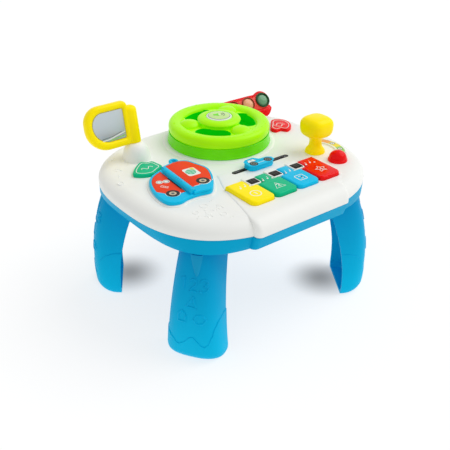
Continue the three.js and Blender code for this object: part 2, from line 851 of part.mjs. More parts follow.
function wheelProfile() {
  const rim = arcPoints(0, 0, 1, 1, rimTubeStart, rimTubeEnd, smallSteps).map(([across, up]) => [
    rimCentreRadius + squared(across, rimTubePower) * (rimTubeWidth / 2),
    rimCentreZ + squared(up, rimTubePower) * (rimTubeHeight / 2),
  ]);
  return [
    [axleRadius + fit, hubBottomZ], [hubBottomRadius, hubBottomZ], [hubRadius, webBottomZ], ...rim,
    [gapInnerRadius, webTopZ], [hubRadius, webTopZ + hubEdge / 2],
    [hubRadius - hubEdge / 2, hubTopZ - hubEdge / 4],
    [hubRadius - hubEdge, hubTopZ], [hubRecessRadius, hubTopZ], [hubRecessRadius, hubRecessZ],
    [axleRadius + fit, hubRecessZ], [axleRadius + fit, hubBottomZ],
  ];
}

// A gap between two spokes: a bent slot with round ends
function gapPlan(middle) {
  const spread = radians(gapHalfAngle);
  const centre = radians(middle);
  const endRadius = (gapOuterRadius - gapInnerRadius) / 2;
  const midRadius = (gapOuterRadius + gapInnerRadius) / 2;
  const start = centre - spread;
  const end = centre + spread;
  const plan = new THREE.Shape();
  const roundEnd = (at, from) => plan.absarc(midRadius * Math.cos(at), midRadius * Math.sin(at), endRadius,
    from, from + Math.PI, false);
  plan.absarc(0, 0, gapOuterRadius, start, end, false);
  roundEnd(end, end);
  plan.absarc(0, 0, gapInnerRadius, end, start, true);
  roundEnd(start, start + Math.PI);
  return plan;
}

function addWheel() {
  const frame = frameAt(wheelX, wheelY, 0);
  let wheel = solid(turned(wheelProfile(), wheelSteps));
  for (let spoke = 0; spoke < spokeCount; spoke += 1) {
    const angle = spokeFirstAngle + (360 / spokeCount) * spoke;
    const gap = prism(gapPlan(angle + 180 / spokeCount), hubBottomZ - overrun, hubTopZ + overrun);
    wheel = wheel.subtract(solid(gap));
    const lobe = new THREE.SphereGeometry(1, smallSteps, tinySteps)
      .rotateX(Math.PI / 2).scale(lobeLength / 2, lobeWidth / 2, lobeRise)
      .translate(lobeCentreRadius, 0, webTopZ).rotateZ(radians(angle));
    wheel = wheel.add(solid(lobe));
  }
  const recess = disc(hubRecessRadius, hubRecessZ, hubTopZ + overrun);
  addPiece("steering_wheel", wheel.subtract(solid(recess)), wheelGreen, frame);
  addPiece("wheel_base", solid(turned(wheelBaseProfile(), wheelSteps)), cupGreen, frame);
  const headBottom = hubRecessZ + fit;
  const axleFoot = plateUnderZ - axleBossDepth;
  addPiece("wheel_axle", solid(turned([
    [0, axleFoot], [axleRadius, axleFoot], [axleRadius, headBottom], [axleHeadRadius, headBottom],
    [axleHeadRadius, headBottom + axleHeadHeight], [0, headBottom + axleHeadHeight],
  ], smallSteps)), steel, frame);
  const bottom = hubRecessZ + hornTravel + pressGap;
  const top = bottom + hornThickness;
  const bore = hornRadius - hornWall;
  addPiece("horn_button", solid(turned([
    [0, top - hornWall], [bore, top - hornWall], [bore, bottom], [hornRadius, bottom],
    [hornRadius, top - hornEdge],
    [hornRadius - hornEdge, top], [hornRadius / 2, top + hornDome * hornCrownShare], [0, top + hornDome],
  ], roundSteps)), pale, frame);
}

// Stands a plan up, so that its depth runs to the front.
function standing(geometry) {
  return geometry.rotateX(Math.PI / 2);
}

function mirrorWindow(growth, frontY, backY) {
  const left = -mirrorWidth - mirrorPostOverlap + frameSideBorder - growth;
  const right = -mirrorPostOverlap - framePostBorder + growth;
  const low = mirrorLift + frameLowBorder - growth;
  const high = mirrorLift + mirrorHeight - frameHighBorder + growth;
  const outline = roundedRect(left, right, low, high, [
    windowCorner + growth, windowCorner + growth,
    mirrorHighCorner - frameHighBorder + windowCorner + growth,
    mirrorLowCorner - frameSideBorder + growth,
  ]);
  return standing(prism(outline, -backY, -frontY));
}

function addMirror() {
  const front = -mirrorDepth / 2;
  const outline = roundedRect(-mirrorWidth - mirrorPostOverlap, -mirrorPostOverlap, mirrorLift,
    mirrorLift + mirrorHeight, [mirrorPostCorner, mirrorPostCorner, mirrorHighCorner, mirrorLowCorner]);
  const body = solid(standing(prism(outline, front, -front, mirrorEdge)));
  const post = solid(turned([
    [0, fit], [postRadius - postDome / 4, fit], [postRadius, postDome / 4],
    ...arcPoints(0, postHeight - postDome, postRadius, postDome, postCapAngle, 90, footRings),
  ], smallSteps));
  const bore = solid(disc(mirrorPinRadius + fit, -overrun, mirrorPinInPost + fit, 0, 0, smallSteps));
  const recess = solid(mirrorWindow(0, front - overrun, front + glassRecess));
  addPiece("mirror_frame", cut(body.add(post), [bore, recess]), yellow, mirrorFrame);
  const glassBack = front + glassRecess - fit;
  const glass = solid(mirrorWindow(-fit, glassBack - glassThickness, glassBack));
  addPiece("mirror_glass", glass, silver, mirrorFrame);
  const pin = disc(mirrorPinRadius, mirrorPinInPost - mirrorPinLength, mirrorPinInPost, 0, 0, smallSteps);
  addPiece("mirror_pin", solid(pin), steel, mirrorFrame);
}

// The pod that carries the mirror: it swells into the play top and leans with the post.
function mirrorPod() {
  const sections = [
    [-podFootDepth, podFootRadius], [-podFootDepth / 2, (podTopRadius + podFootRadius) / 2 - podCorner],
    [-podFootDepth / 4, podTopRadius], [-podCorner, podTopRadius], [0, podTopRadius - podCorner],
  ].map(([z, radius]) => ({ points: ovalPoints(radius, radius, 2, roundSteps), z }));
  return solid(placed(loft(sections), mirrorFrame));
}

function podBore() {
  const depth = mirrorPinLength - mirrorPinInPost + fit;
  return solid(placed(disc(mirrorPinRadius + fit, -depth, overrun, 0, 0, smallSteps), mirrorFrame));
}

function addGear() {
  const base = topZ + fit;
  const height = gearTopZ - base;
  const knob = solid(loft(gearShares.map(([up, across, power]) => ({
    points: ovalPoints(gearKnobHalf * across, gearKnobHalf * across, power, roundSteps),
    z: base + up * height,
  }))).translate(gearX, gearY, 0));
  const stem = solid(disc(gearStemRadius, plateUnderZ, base + fit, gearX, gearY, smallSteps));
  const spigotFoot = plateUnderZ - 2 * retainerThickness;
  const spigot = solid(disc(gearSpigotRadius, spigotFoot, base, gearX, gearY, smallSteps));
  addPiece("gear_knob", join([knob, stem, spigot]), yellow);
  const ring = solid(disc(retainerRadius, lipTopZ - retainerThickness, lipTopZ, gearX, gearY, smallSteps));
  const bore = solid(disc(gearSpigotRadius + fit, spigotFoot, topZ, gearX, gearY, smallSteps));
  addPiece("gear_retainer", ring.subtract(bore), white);
}

// Part of a ring beside the gear lever, grown by a margin
function dialPlan(growth) {
  const start = radians(dialStartAngle) - growth / dialOuterRadius;
  const end = radians(dialEndAngle) + growth / dialOuterRadius;
  const plan = new THREE.Shape();
  plan.absarc(0, 0, dialOuterRadius + growth, start, end, false);
  plan.absarc(0, 0, dialInnerRadius - growth, end, start, true);
  return plan;
}

const dialSeatZ = topZ + dialSeatRise;

function dialSeat() {
  const seat = prism(dialPlan(dialSeatMargin), topZ - dialSeatDrop, dialSeatZ);
  return solid(seat.translate(gearX, gearY, 0));
}

function addDial() {
  const plate = prism(dialPlan(0), dialSeatZ + fit, dialSeatZ + fit + dialThickness);
  addPiece("gear_dial", solid(plate.translate(gearX, gearY, 0)), amber);
}

function domeProfile() {
  const inner = domeRadius - domeStep;
  const shoulder = topZ + domeStepHeight;
  return [
    [0, lipBottomZ], [domeRadius + lipWidth, lipBottomZ], [domeRadius + lipWidth, lipTopZ],
    [domeRadius, lipTopZ], [domeRadius, shoulder - domeStep],
    ...arcPoints(0, shoulder, inner, domeHeight - domeStepHeight, 0, 90, curveSteps + 1),
  ];
}

function addDome() {
  const dome = solid(turned(domeProfile(), roundSteps, domeX, domeY));
  addPiece("dome_button", dome, red);
}

// A plate with a small button's outline
function buttonPlate(shares, growth, bottom, top, edge = 0) {
  return solid(prism(splineOutline(shares, buttonHalf, buttonHalf, growth), bottom, top, edge));
}

// A press button through the play top, held below it by a lip
function smallButton(name, material, shares, x, y) {
  const cap = buttonPlate(shares, 0, lipBottomZ, topZ + smallRise, smallEdge);
  const lip = buttonPlate(shares, lipWidth, lipBottomZ, lipTopZ);
  addPiece(name, cap.add(lip).translate([x, y, 0]), material);
}

function smallButtonHole(shares, x, y) {
  const hole = buttonPlate(shares, 2 * fit, partingZ, topZ + overrun);
  const well = buttonPlate(shares, lipWidth + 2 * fit, partingZ, lipTopZ + fit);
  return hole.add(well).translate([x, y, 0]);
}

function bookOutline(growth) {
  return splineOutline(bookShares, bookHalfX, bookHalfY, growth);
}

function bookPlate(growth, bottom, top, edge = 0) {
  return solid(prism(bookOutline(growth), bottom, top, edge).translate(bookX, bookY, 0));
}

// Everything to one side of the spine, as a cutting block in the spine's frame
function sideOfSpine(sign, gap) {
  const reach = 3 * bookHalfX;
  const near = sign * gap;
  const far = sign * reach;
  const block = box(Math.min(near, far), Math.max(near, far), -reach, reach, -reach, reach);
  return solid(placed(block, spineFrame));
}

function spineRod(radius, from, to) {
  return solid(placed(rodAlongY(radius, from, to, 0, 0, smallSteps), spineFrame));
}

function addBook() {
  const end = spineLength / 2;
  const pocketZ = trayTopZ - trayPocket;
  const groove = spineRod(spineRadius + fit, -end + knuckleLength - fit, end - knuckleLength + fit);
  const tray = cut(bookPlate(0, trayBaseZ, trayTopZ, trayEdge), [
    bookPlate(-trayRim, pocketZ, trayTopZ + overrun).intersect(sideOfSpine(-1, spineRadius)),
    bookPlate(-trayRim, pocketZ, trayTopZ + overrun).intersect(sideOfSpine(1, spineRadius + leafGap)),
    groove,
  ]);
  const knuckles = [
    spineRod(spineRadius, -end, -end + knuckleLength),
    spineRod(spineRadius, end - knuckleLength, end),
  ];
  const bore = spineRod(spinePinRadius + fit, -end + fit, end + fit);
  addPiece("book_tray", join([tray, ...knuckles]).subtract(bore), blue);

  const page = bookPlate(-trayRim - fit, pocketZ + fit, pocketZ + fit + pageThickness)
    .intersect(sideOfSpine(-1, spineRadius + fit));
  addPiece("book_page", page, orange);

  const leafBottom = trayTopZ + fit;
  const leafTop = leafBottom + leafThickness;
  const pageZ = leafTop - leafPageDepth;
  const plate = bookPlate(0, leafBottom, leafTop, leafEdge).intersect(sideOfSpine(1, 0));
  const barrel = spineRod(spineRadius, -end + knuckleLength + fit, end - knuckleLength - fit);
  const tabDisc = (radius, extra) => disc(radius, leafBottom - extra, leafTop + extra, tabAcross, tabAlong,
    smallSteps);
  const tabFrame = new THREE.Matrix4().makeTranslation(spineX, spineY, 0);
  const room = join([
    spineRod(spineRadius + 2 * fit, end - knuckleLength, end + overrun * 2),
    spineRod(spineRadius + 2 * fit, -end - overrun * 2, -end + knuckleLength),
  ]);
  const inlay = (gap) => bookPlate(-leafRim - gap, pageZ + gap, leafTop + (gap > 0 ? 0 : overrun))
    .intersect(sideOfSpine(1, spineRadius + leafRim / 2 + gap));
  const leaf = cut(join([plate, barrel, solid(tabDisc(tabRadius, 0).applyMatrix4(tabFrame))]), [
    spineRod(spinePinRadius + fit, -spineLength, spineLength),
    solid(tabDisc(tabBoreRadius, overrun).applyMatrix4(tabFrame)),
    room,
    inlay(0),
  ]);
  addPiece("book_leaf", leaf, blue);
  addPiece("leaf_page", inlay(fit), orange);
  addPiece("book_pin", spineRod(spinePinRadius, -end + 2 * fit, end - fit), steel);
}

function bookPlinth() {
  return bookPlate(bookPlinthMargin, plateUnderZ, traySeatZ);
}

// Traffic light: a drawn housing with a sloping face that carries the plate and the lenses. Its
// profile is depth and height about the middle of the face.
function lightsProfile() {
  const rise = (faceLength / 2) * Math.sin(radians(faceTilt));
  const foot = rimWallTop - lightsZ;
  const profile = new THREE.Shape();
  profile.moveTo(-faceRun, foot);
  profile.lineTo(lightsDepth, foot);
  profile.lineTo(lightsDepth, 0);
  profile.quadraticCurveTo(lightsDepth, rise, faceRun, rise);
  profile.lineTo(-faceRun, -rise);
  return profile;
}

// Plan of the traffic light, with its outer corners well rounded
function lightsPlan() {
  const corners = [lightsFrontCorner, lightsBackCorner, lightsEdge, lightsEdge];
  const plan = roundedRect(-lightsLeft, lightsRight, -faceRun, lightsDepth, corners);
  return solid(placed(prism(plan, rimWallTop - lightsZ, faceLength), lightsFrame));
}

function lensPlaces() {
  return Array.from({ length: lensCount }, (_, i) => (i - (lensCount - 1) / 2) * lensPitch);
}

// Room that the wheel and the play top need beside the traffic light
function lightsRoom() {
  const radius = wheelRadius + baseLean + wheelClearance;
  const wheelRoom = disc(radius, rimWallTop, hubTopZ + overrun, wheelX, wheelY, bodySteps);
  return [solid(wheelRoom), topSkin(-fit, partingZ), wheelPlinth(-fit, partingZ)];
}

function addLights() {
  const visorRadius = lensRadius + fit + visorThickness;
  const onFace = (geometry) => solid(placed(geometry, faceFrame));
  const block = drawnAlongX(lightsProfile(), -lightsLeft, lightsRight, lightsEdge);
  const rim = solid(loft([
    { points: rimPoints(lightsRimInset), z: partingZ },
    { points: rimPoints(lightsRimInset), z: lightsZ + faceLength },
  ]));
  let housing = solid(placed(block, lightsFrame)).intersect(rim).intersect(lightsPlan());
  let plate = onFace(prism(centredRect(facePlateLength, facePlateWidth, facePlateWidth / 2 - 4 * fit), fit,
    fit + facePlateThickness));
  for (const x of lensPlaces()) {
    const ring = onFace(disc(visorRadius, -lensPocketDepth, visorReach, x));
    const left = x - visorRadius;
    const right = x + visorRadius;
    const upper = onFace(box(left, right, 0, visorRadius, -lensPocketDepth, visorReach));
    const pocket = onFace(disc(lensRadius + fit, -lensPocketDepth, visorReach + overrun, x));
    housing = housing.add(ring.intersect(upper)).subtract(pocket);
    plate = plate.subtract(onFace(disc(visorRadius + fit, -overrun, overrun, x)));
  }
  addPiece("traffic_housing", cut(housing, lightsRoom()), red);
  addPiece("traffic_face", cut(plate, lightsRoom()), salmon);
  const looks = [["lens_red", red], ["lens_amber", amber], ["lens_green", lensGreen]];
  lensPlaces().forEach((x, i) => {
    const lens = turned([
      [0, -lensPocketDepth + fit], [lensRadius, -lensPocketDepth + fit],
      ...lensShares.map(([across, up]) => [lensRadius * across, facePlateThickness + lensRise * up]),
      [0, facePlateThickness + lensRise],
    ], lensSteps, x);
    addPiece(looks[i][0], solid(lens), looks[i][1], faceFrame);
  });
}

// Half width, depth and outward shift of a leg's section at a share of its height
function legSize(share) {
  return {
    halfWidth: footHalfWidth + (legTopHalfWidth - footHalfWidth) * share,
    depth: footDepth + (legTopDepth - footDepth) * share,
    shift: legTopShift * share + 4 * legBow * share * (1 - share),
  };
}

// A D-shaped ring: a flat side facing the middle of the table and a bowed side facing out
function legRing(z, inset, chord, share = z / legTopZ, sideInset = inset) {
  const size = legSize(share);
  const points = [];
  for (let i = 0; i <= legSteps; i += 1) {
    const angle = Math.PI * (i / legSteps - 0.5);
    const across = squared(Math.sin(angle), legPower);
    const out = i === 0 || i === legSteps ? 0 : squared(Math.cos(angle), legPower);
    points.push(new THREE.Vector2(
      size.shift + chord + out * (size.depth - inset - chord),
      across * (size.halfWidth - sideInset),
    ));
  }
  return { points, z };
}

function legFrames() {
  const places = [
    ["leg_front_left", -1, -1],
    ["leg_front_right", 1, -1],
    ["leg_back_left", -1, 1],
    ["leg_back_right", 1, 1],
  ];
  return places.map(([name, sideX, sideY]) => {
    const turn = Math.atan2(sideY * Math.sin(radians(legTurn)), sideX * Math.cos(radians(legTurn)));
    const frame = frameAt(sideX * legCornerX, sideY * legCornerY, 0, 0, THREE.MathUtils.radToDeg(turn));
    return { name, frame, side: -sideX };
  });
}

const legs = legFrames();

// How far the foot's rounded edge stands in at a height
function footInset(z) {
  return footEdge * (1 - Math.sqrt(1 - (1 - z / footEdge) ** 2));
}

// Height of one of the leg's rings above its foot
function legRingZ(ring) {
  return lerp(footEdge, legTopZ, ring / legRings);
}

// Rings of the foot's rounded edge, from the floor up; its sides are rounded less than its front
function footSections(growth) {
  return Array.from({ length: footRings + 1 }, (_, i) => {
    const angle = (Math.PI / 2) * (i / footRings);
    const z = footEdge * (1 - Math.cos(angle));
    const inset = footEdge * (1 - Math.sin(angle));
    return legRing(z, inset - growth, 0, z / legTopZ, inset * footSideShare - growth);
  });
}

// The boot: a thicker skin round the foot, up to a wavy line that rises towards one side
function legBoot(side) {
  const halfWidth = footHalfWidth + bootRise;
  const reach = side * halfWidth;
  const crest = bootShares.map(([across, up]) => new THREE.Vector2(across * reach, up * bootHeight));
  if (side > 0) crest.reverse();
  const plan = new THREE.Shape();
  plan.moveTo(-halfWidth, -overrun);
  plan.lineTo(halfWidth, -overrun);
  plan.lineTo(crest[0].x, crest[0].y);
  plan.splineThru(crest.slice(1));
  const wave = drawnAlongX(plan, -footDepth, 2 * footDepth);
  const rings = Array.from({ length: bootRings }, (_, i) => legRing(legRingZ(i + 1), -bootRise, 0));
  const skin = loft([...footSections(bootRise), ...rings]);
  return solid(skin).intersect(solid(wave));
}

function legShape(side) {
  const outer = footSections(0);
  const hollow = [legRing(soleThickness, footInset(soleThickness) + legWall, -overrun)];
  for (let i = 1; i <= legRings; i += 1) {
    const share = i / legRings;
    outer.push(legRing(legRingZ(i), 0, 0));
    hollow.push(legRing(lerp(soleThickness, legTopZ - floorWall, share), legWall, -overrun));
  }
  const body = solid(loft(outer)).add(legBoot(side)).subtract(solid(loft(hollow)));
  const spigot = solid(loft([
    legRing(legTopZ - floorWall, spigotInset, spigotInset, 1),
    legRing(legTopZ + spigotHeight, spigotInset, spigotInset, 1),
  ]));
  const spigotWall = spigotInset + legWall;
  const well = solid(loft([
    legRing(legTopZ, spigotWall, spigotWall, 1),
    legRing(partingZ, spigotWall, spigotWall, 1),
  ]));
  return body.add(spigot).subtract(well);
}

function addLegs() {
  for (const { name, frame, side } of legs) addPiece(name, legShape(side), blue, frame);
}

// The housing's socket for a leg's spigot, and the boss around it
function legSocket(frame, growth, bottom, top) {
  const inset = spigotInset - growth;
  return solid(placed(loft([legRing(bottom, inset, inset, 1), legRing(top, inset, inset, 1)]), frame));
}

// A ring of the lower housing, between its squarer foot and the play top's rim
function housingRing(z, inset) {
  const share = THREE.MathUtils.clamp((z - housingBottomZ) / (partingZ - housingBottomZ), 0, 1);
  const rim = rimPoints(inset);
  const skirt = ovalPoints(skirtHalfX - inset, skirtHalfY - inset, skirtPower);
  return { points: skirt.map((point, i) => point.lerp(rim[i], share)), z };
}

// The straight front of the lower housing under the keys
function housingFront(inset, bottom, top) {
  const profile = new THREE.Shape();
  profile.moveTo(consoleSkirtFrontY + inset, bottom);
  profile.lineTo(keyFrontY, bottom);
  profile.lineTo(keyFrontY, top);
  profile.lineTo(consoleFrontY + inset, top);
  return solid(drawnAlongX(profile, consoleLeftX + inset, consoleRightX - inset));
}

// A block for the cells over the recess of their cover
function bayBlock(growth, bottom, top) {
  const edge = coverMargin + growth;
  return solid(prism(roundedRect(batteryX - bayHalfX - edge, batteryX + bayHalfX + coverTab + growth,
    batteryY - bayHalfY - edge, batteryY + bayHalfY + edge, coverCorner), bottom, top));
}

const coverScrewX = batteryX + bayHalfX + coverTab / 2;
const coverScrewSpot = [[coverScrewX, batteryY]];

// Posts that carry the rubber pads of the dome and of the two small buttons
const padSpots = [
  ["dome_pad", domeX, domeY, domeTravel],
  ["green_pad", greenX, greenY, smallTravel],
  ["red_pad", redX, redY, smallTravel],
];

function padTop(travel) {
  return lipBottomZ - travel - pressGap;
}

// Like discs at several places
function discsAt(places, radius, bottom, top, steps = tinySteps) {
  return places.map(([x, y]) => solid(disc(radius, bottom, top, x, y, steps)));
}

function boardCorners(inset) {
  const places = [];
  for (const x of [keysLeftX + inset, keyRightX - inset]) {
    for (const y of [keyFrontY + inset, keyBackY - inset]) places.push([x, y]);
  }
  return places;
}

function grilleSlots() {
  const reach = (grillePitch * (grilleCount - 1)) / 2;
  return Array.from({ length: grilleCount }, (_, i) => {
    const shift = -reach + grillePitch * i;
    const half = Math.sqrt((speakerConeRadius - grilleSlotWidth) ** 2 - shift ** 2);
    const slot = roundedRect(speakerX + shift - grilleSlotWidth / 2, speakerX + shift + grilleSlotWidth / 2,
      speakerY - half, speakerY + half, grilleSlotWidth / 2);
    return solid(prism(slot, housingBottomZ - overrun, floorTopZ + overrun));
  });
}

function addLowerHousing() {
  const over = partingZ + overrun;
  const outer = solid(loft([housingRing(housingBottomZ, 0), housingRing(partingZ, 0)]))
    .add(housingFront(0, housingBottomZ, partingZ));
  const inner = solid(loft([floorTopZ, partingZ, over].map((z) => housingRing(z, shellWall))))
    .add(housingFront(shellWall, floorTopZ, over));
  const under = housingBottomZ - overrun;
  const socketTopZ = legTopZ + spigotHeight + fit;
  const boardSeatZ = boardTopZ - boardThickness - fit;
  const ring = speakerRadius + fit;
  const additions = [
    ...legs.map(({ frame }) => legSocket(frame, fit + shellWall, housingBottomZ, socketTopZ + shellWall)),
    bayBlock(batteryWall, housingBottomZ, bayTopZ + bayRoof),
    solid(disc(ring + speakerRingWall, housingBottomZ, floorTopZ + speakerRingHeight, speakerX, speakerY))
      .subtract(solid(disc(ring, floorTopZ, floorTopZ + overrun, speakerX, speakerY))),
    ...discsAt(screwSpots, pillarRadius, housingBottomZ, partingZ, smallSteps),
    ...discsAt(boardCorners(boardPostRadius), boardPostRadius, housingBottomZ, boardSeatZ),
    ...padSpots.map(([, x, y, travel]) => solid(disc(postRadiusInside, housingBottomZ,
      padTop(travel) - padHeight - fit, x, y, tinySteps))),
  ];
  const headTop = housingBottomZ + screwSink + screwHeadHeight + fit;
  const shank = screwShankRadius + fit;
  const gap = 2 * fit;
  const window = centredRect(switchLength + switchTravel + gap, switchWidth + gap, fit, switchX, switchY);
  const cuts = [
    ...legs.map(({ frame }) => legSocket(frame, fit, under, socketTopZ)),
    bayBlock(fit, housingBottomZ - overrun, coverTopZ + fit),
    solid(prism(centredRect(2 * bayHalfX, 2 * bayHalfY, fit, batteryX, batteryY), housingBottomZ, bayTopZ)),
    ...discsAt(coverScrewSpot, shank, housingBottomZ, coverTopZ + coverScrewLength),
    ...grilleSlots(),
    ...discsAt(screwSpots, screwHeadRadius + fit, under, headTop, smallSteps),
    ...discsAt(screwSpots, shank, housingBottomZ, over),
    solid(prism(window, under, floorTopZ + overrun)),
  ];
  addPiece("lower_housing", cut(join([outer.subtract(inner), ...additions]), cuts), blue);
}

function addTopShell() {
  const low = partingZ + fit;
  const under = partingZ - overrun;
  const outer = join([topSkin(0, low), consoleBlock(0, low), wheelPlinth(0, topZ - plinthDrop)]);
  const hollow = [topSkin(shellWall, under), consoleBlock(shellWall, under), wheelPlinth(shellWall, under)];
  const bossFoot = plateUnderZ - axleBossDepth;
  const additions = [
    bookPlinth(), dialSeat(), mirrorPod(), ...keyBlocks(), ...rodBrackets(),
    solid(disc(axleBossRadius, bossFoot, wheelSeatZ - fit, wheelX, wheelY, smallSteps)),
    ...discsAt(screwSpots, pillarRadius, low, plateUnderZ + fit, smallSteps),
  ];
  const domeHole = domeRadius + 2 * fit;
  const screwTipZ = housingBottomZ + screwSink + screwLength;
  const cuts = [
    ...keyHoles(),
    solid(prism(slotPlan(0), partingZ, consoleTopZ + overrun)),
    solid(disc(domeHole, partingZ, topZ + overrun, domeX, domeY)),
    solid(disc(domeHole + lipWidth, partingZ, lipTopZ + fit, domeX, domeY)),
    smallButtonHole(greenShares, greenX, greenY),
    smallButtonHole(redShares, redX, redY),
    solid(disc(gearStemRadius + fit, partingZ, topZ + overrun, gearX, gearY, roundSteps)),
    solid(disc(axleRadius + fit, partingZ, topZ + overrun, wheelX, wheelY, smallSteps)),
    podBore(),
    ...discsAt(screwSpots, screwShankRadius + fit, partingZ, screwTipZ + fit),
  ];
  addPiece("top_shell", cut(join([cut(outer, hollow), ...additions]), cuts), white);
}

// A screw pointing up, its head below
function screwProfile(headBottom, length) {
  const headTop = headBottom + screwHeadHeight;
  return [
    [0, headBottom], [screwHeadRadius, headBottom], [screwHeadRadius, headTop], [screwShankRadius, headTop],
    [screwShankRadius, headBottom + length - screwShankRadius], [0, headBottom + length],
  ];
}

function addUnderside() {
  const cover = bayBlock(0, housingBottomZ, coverTopZ);
  const under = housingBottomZ - overrun;
  const headTop = housingBottomZ + screwHeadHeight + 2 * fit;
  addPiece("battery_cover", cut(cover, [
    ...discsAt(coverScrewSpot, screwShankRadius + fit, under, coverTopZ + overrun),
    ...discsAt(coverScrewSpot, screwHeadRadius + fit, under, headTop, smallSteps),
  ]), blue);
  const coverScrew = screwProfile(housingBottomZ + fit, coverScrewLength);
  addPiece("battery_cover_screw", solid(turned(coverScrew, tinySteps, coverScrewX, batteryY)), steel);
  for (let i = 0; i < batteryCount; i += 1) {
    const y = batteryY + (i - (batteryCount - 1) / 2) * batteryPitch;
    const half = batteryLength / 2;
    const side = i % 2 === 0 ? 1 : -1;
    const cell = solid(rodAlongX(batteryRadius, batteryX - half, batteryX + half, y, batteryZ));
    const middle = batteryX + side * half;
    const left = middle - batteryTip;
    const tip = rodAlongX(batteryTipRadius, left, middle + batteryTip, y, batteryZ, tinySteps);
    addPiece(`battery_${i + 1}`, cell.add(solid(tip)), steel);
  }
  screwSpots.forEach(([x, y], i) => {
    const screw = screwProfile(housingBottomZ + screwSink, screwLength);
    addPiece(`housing_screw_${i + 1}`, solid(turned(screw, tinySteps, x, y)), steel);
  });
  const knob = centredRect(switchLength, switchWidth, fit, switchX, switchY);
  const flangeLength = switchLength + 2 * switchTravel;
  const flange = centredRect(flangeLength, switchWidth + switchTravel, fit, switchX, switchY);
  const seat = floorTopZ + fit;
  const slide = solid(prism(knob, housingBottomZ + fit, seat + fit));
  addPiece("power_switch", slide.add(solid(prism(flange, seat, seat + switchThickness / 2))), charcoal);
}

function addInside() {
  const seat = floorTopZ + fit;
  addPiece("speaker", solid(turned([
    [0, seat + speakerConeDepth], [speakerConeRadius / 4, seat + speakerConeDepth],
    [speakerConeRadius, seat + speakerRingWall / 2],
    [speakerConeRadius, seat], [speakerRadius, seat], [speakerRadius, seat + speakerRingWall],
    [speakerConeRadius, seat + 2 * speakerRingWall],
    [speakerRadius / 2, seat + speakerConeDepth + speakerRingWall],
    [speakerRadius / 2, seat + speakerHeight], [0, seat + speakerHeight],
  ], roundSteps, speakerX, speakerY)), charcoal);
  const board = roundedRect(keysLeftX, keyRightX, keyFrontY, keyBackY, screwShankRadius);
  addPiece("circuit_board", solid(prism(board, boardTopZ - boardThickness, boardTopZ)), circuitGreen);
  const padX = (order) => keysLeftX + keyPitch * (order + 0.5);
  const padY = keyFrontY + notchDepth / 2;
  const drop = (hingeRodY - padY) * Math.sin(radians(keySwing)) + pressGap;
  for (let order = 0; order < keyCount; order += 1) {
    const pad = disc(keyPadRadius, boardTopZ + fit, keyBottomZ - drop, padX(order), padY, smallSteps);
    addPiece(`key_pad_${order + 1}`, solid(pad), rubber);
  }
  for (const [name, x, y, travel] of padSpots) {
    const top = padTop(travel);
    addPiece(name, solid(disc(padRadius, top - padHeight, top, x, y, smallSteps)), rubber);
  }
}

addTopShell();
addLowerHousing();
addLegs();
addWheel();
addKeys();
addInlays();
addSlider();
addMirror();
addGear();
addDial();
addDome();
smallButton("green_button", teal, greenShares, greenX, greenY);
smallButton("red_button", red, redShares, redX, redY);
addBook();
addLights();
addUnderside();
addInside();

// The middle of the bounding box's lower face becomes the origin.
table.updateMatrixWorld(true);
const bounds = new THREE.Box3().setFromObject(table, true);
const middle = bounds.getCenter(new THREE.Vector3());
table.position.set(-middle.x, -middle.y, -bounds.min.z);
table.updateMatrixWorld(true);

export default table;
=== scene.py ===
"""Toy activity table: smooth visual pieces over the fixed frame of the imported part."""

import json
import math

import bmesh
import bpy
from mathutils import Matrix, Vector

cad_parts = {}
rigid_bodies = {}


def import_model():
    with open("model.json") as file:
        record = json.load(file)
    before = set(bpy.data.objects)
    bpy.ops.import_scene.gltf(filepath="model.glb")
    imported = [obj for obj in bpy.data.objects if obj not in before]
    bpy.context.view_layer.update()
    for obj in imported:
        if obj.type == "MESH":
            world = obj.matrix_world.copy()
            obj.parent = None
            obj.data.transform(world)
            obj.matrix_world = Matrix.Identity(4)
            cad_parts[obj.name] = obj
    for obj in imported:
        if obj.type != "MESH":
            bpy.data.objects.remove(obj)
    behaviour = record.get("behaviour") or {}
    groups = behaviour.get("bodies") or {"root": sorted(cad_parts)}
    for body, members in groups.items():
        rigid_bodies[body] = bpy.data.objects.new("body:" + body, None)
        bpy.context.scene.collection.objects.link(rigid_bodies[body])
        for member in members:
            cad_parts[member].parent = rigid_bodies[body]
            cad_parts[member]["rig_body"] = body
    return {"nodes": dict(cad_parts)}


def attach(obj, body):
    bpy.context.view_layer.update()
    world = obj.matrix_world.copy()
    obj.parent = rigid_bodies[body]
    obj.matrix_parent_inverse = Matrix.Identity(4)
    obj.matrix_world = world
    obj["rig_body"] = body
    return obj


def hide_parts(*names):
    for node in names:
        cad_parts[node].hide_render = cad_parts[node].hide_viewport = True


bl_info = {
    "name": "Toy activity table",
    "version": (1, 0, 0),
    "blender": (4, 5, 0),
    "location": "View3D > Sidebar > Table",
    "description": "Builds the pieces, materials and stage of a toy activity table",
    "category": "Object",
}

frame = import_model()

# A millimetre in the frame's metres, and where the middle of the play top lies in the frame.
MM = 0.001
SHIFT = Vector((-3.5, 0.5, 0))


def colour(name, value):
    """One colour of the table, as it looks on a screen."""
    return bpy.props.FloatVectorProperty(
        name=name, description=f"Colour of the {name.lower()}", subtype="COLOR_GAMMA", size=3, min=0, max=1,
        default=value)


def length(name, text, value):
    """One length of the table, given in millimetres and kept in metres."""
    return bpy.props.FloatProperty(name=name, description=text, unit="LENGTH", default=value * MM)


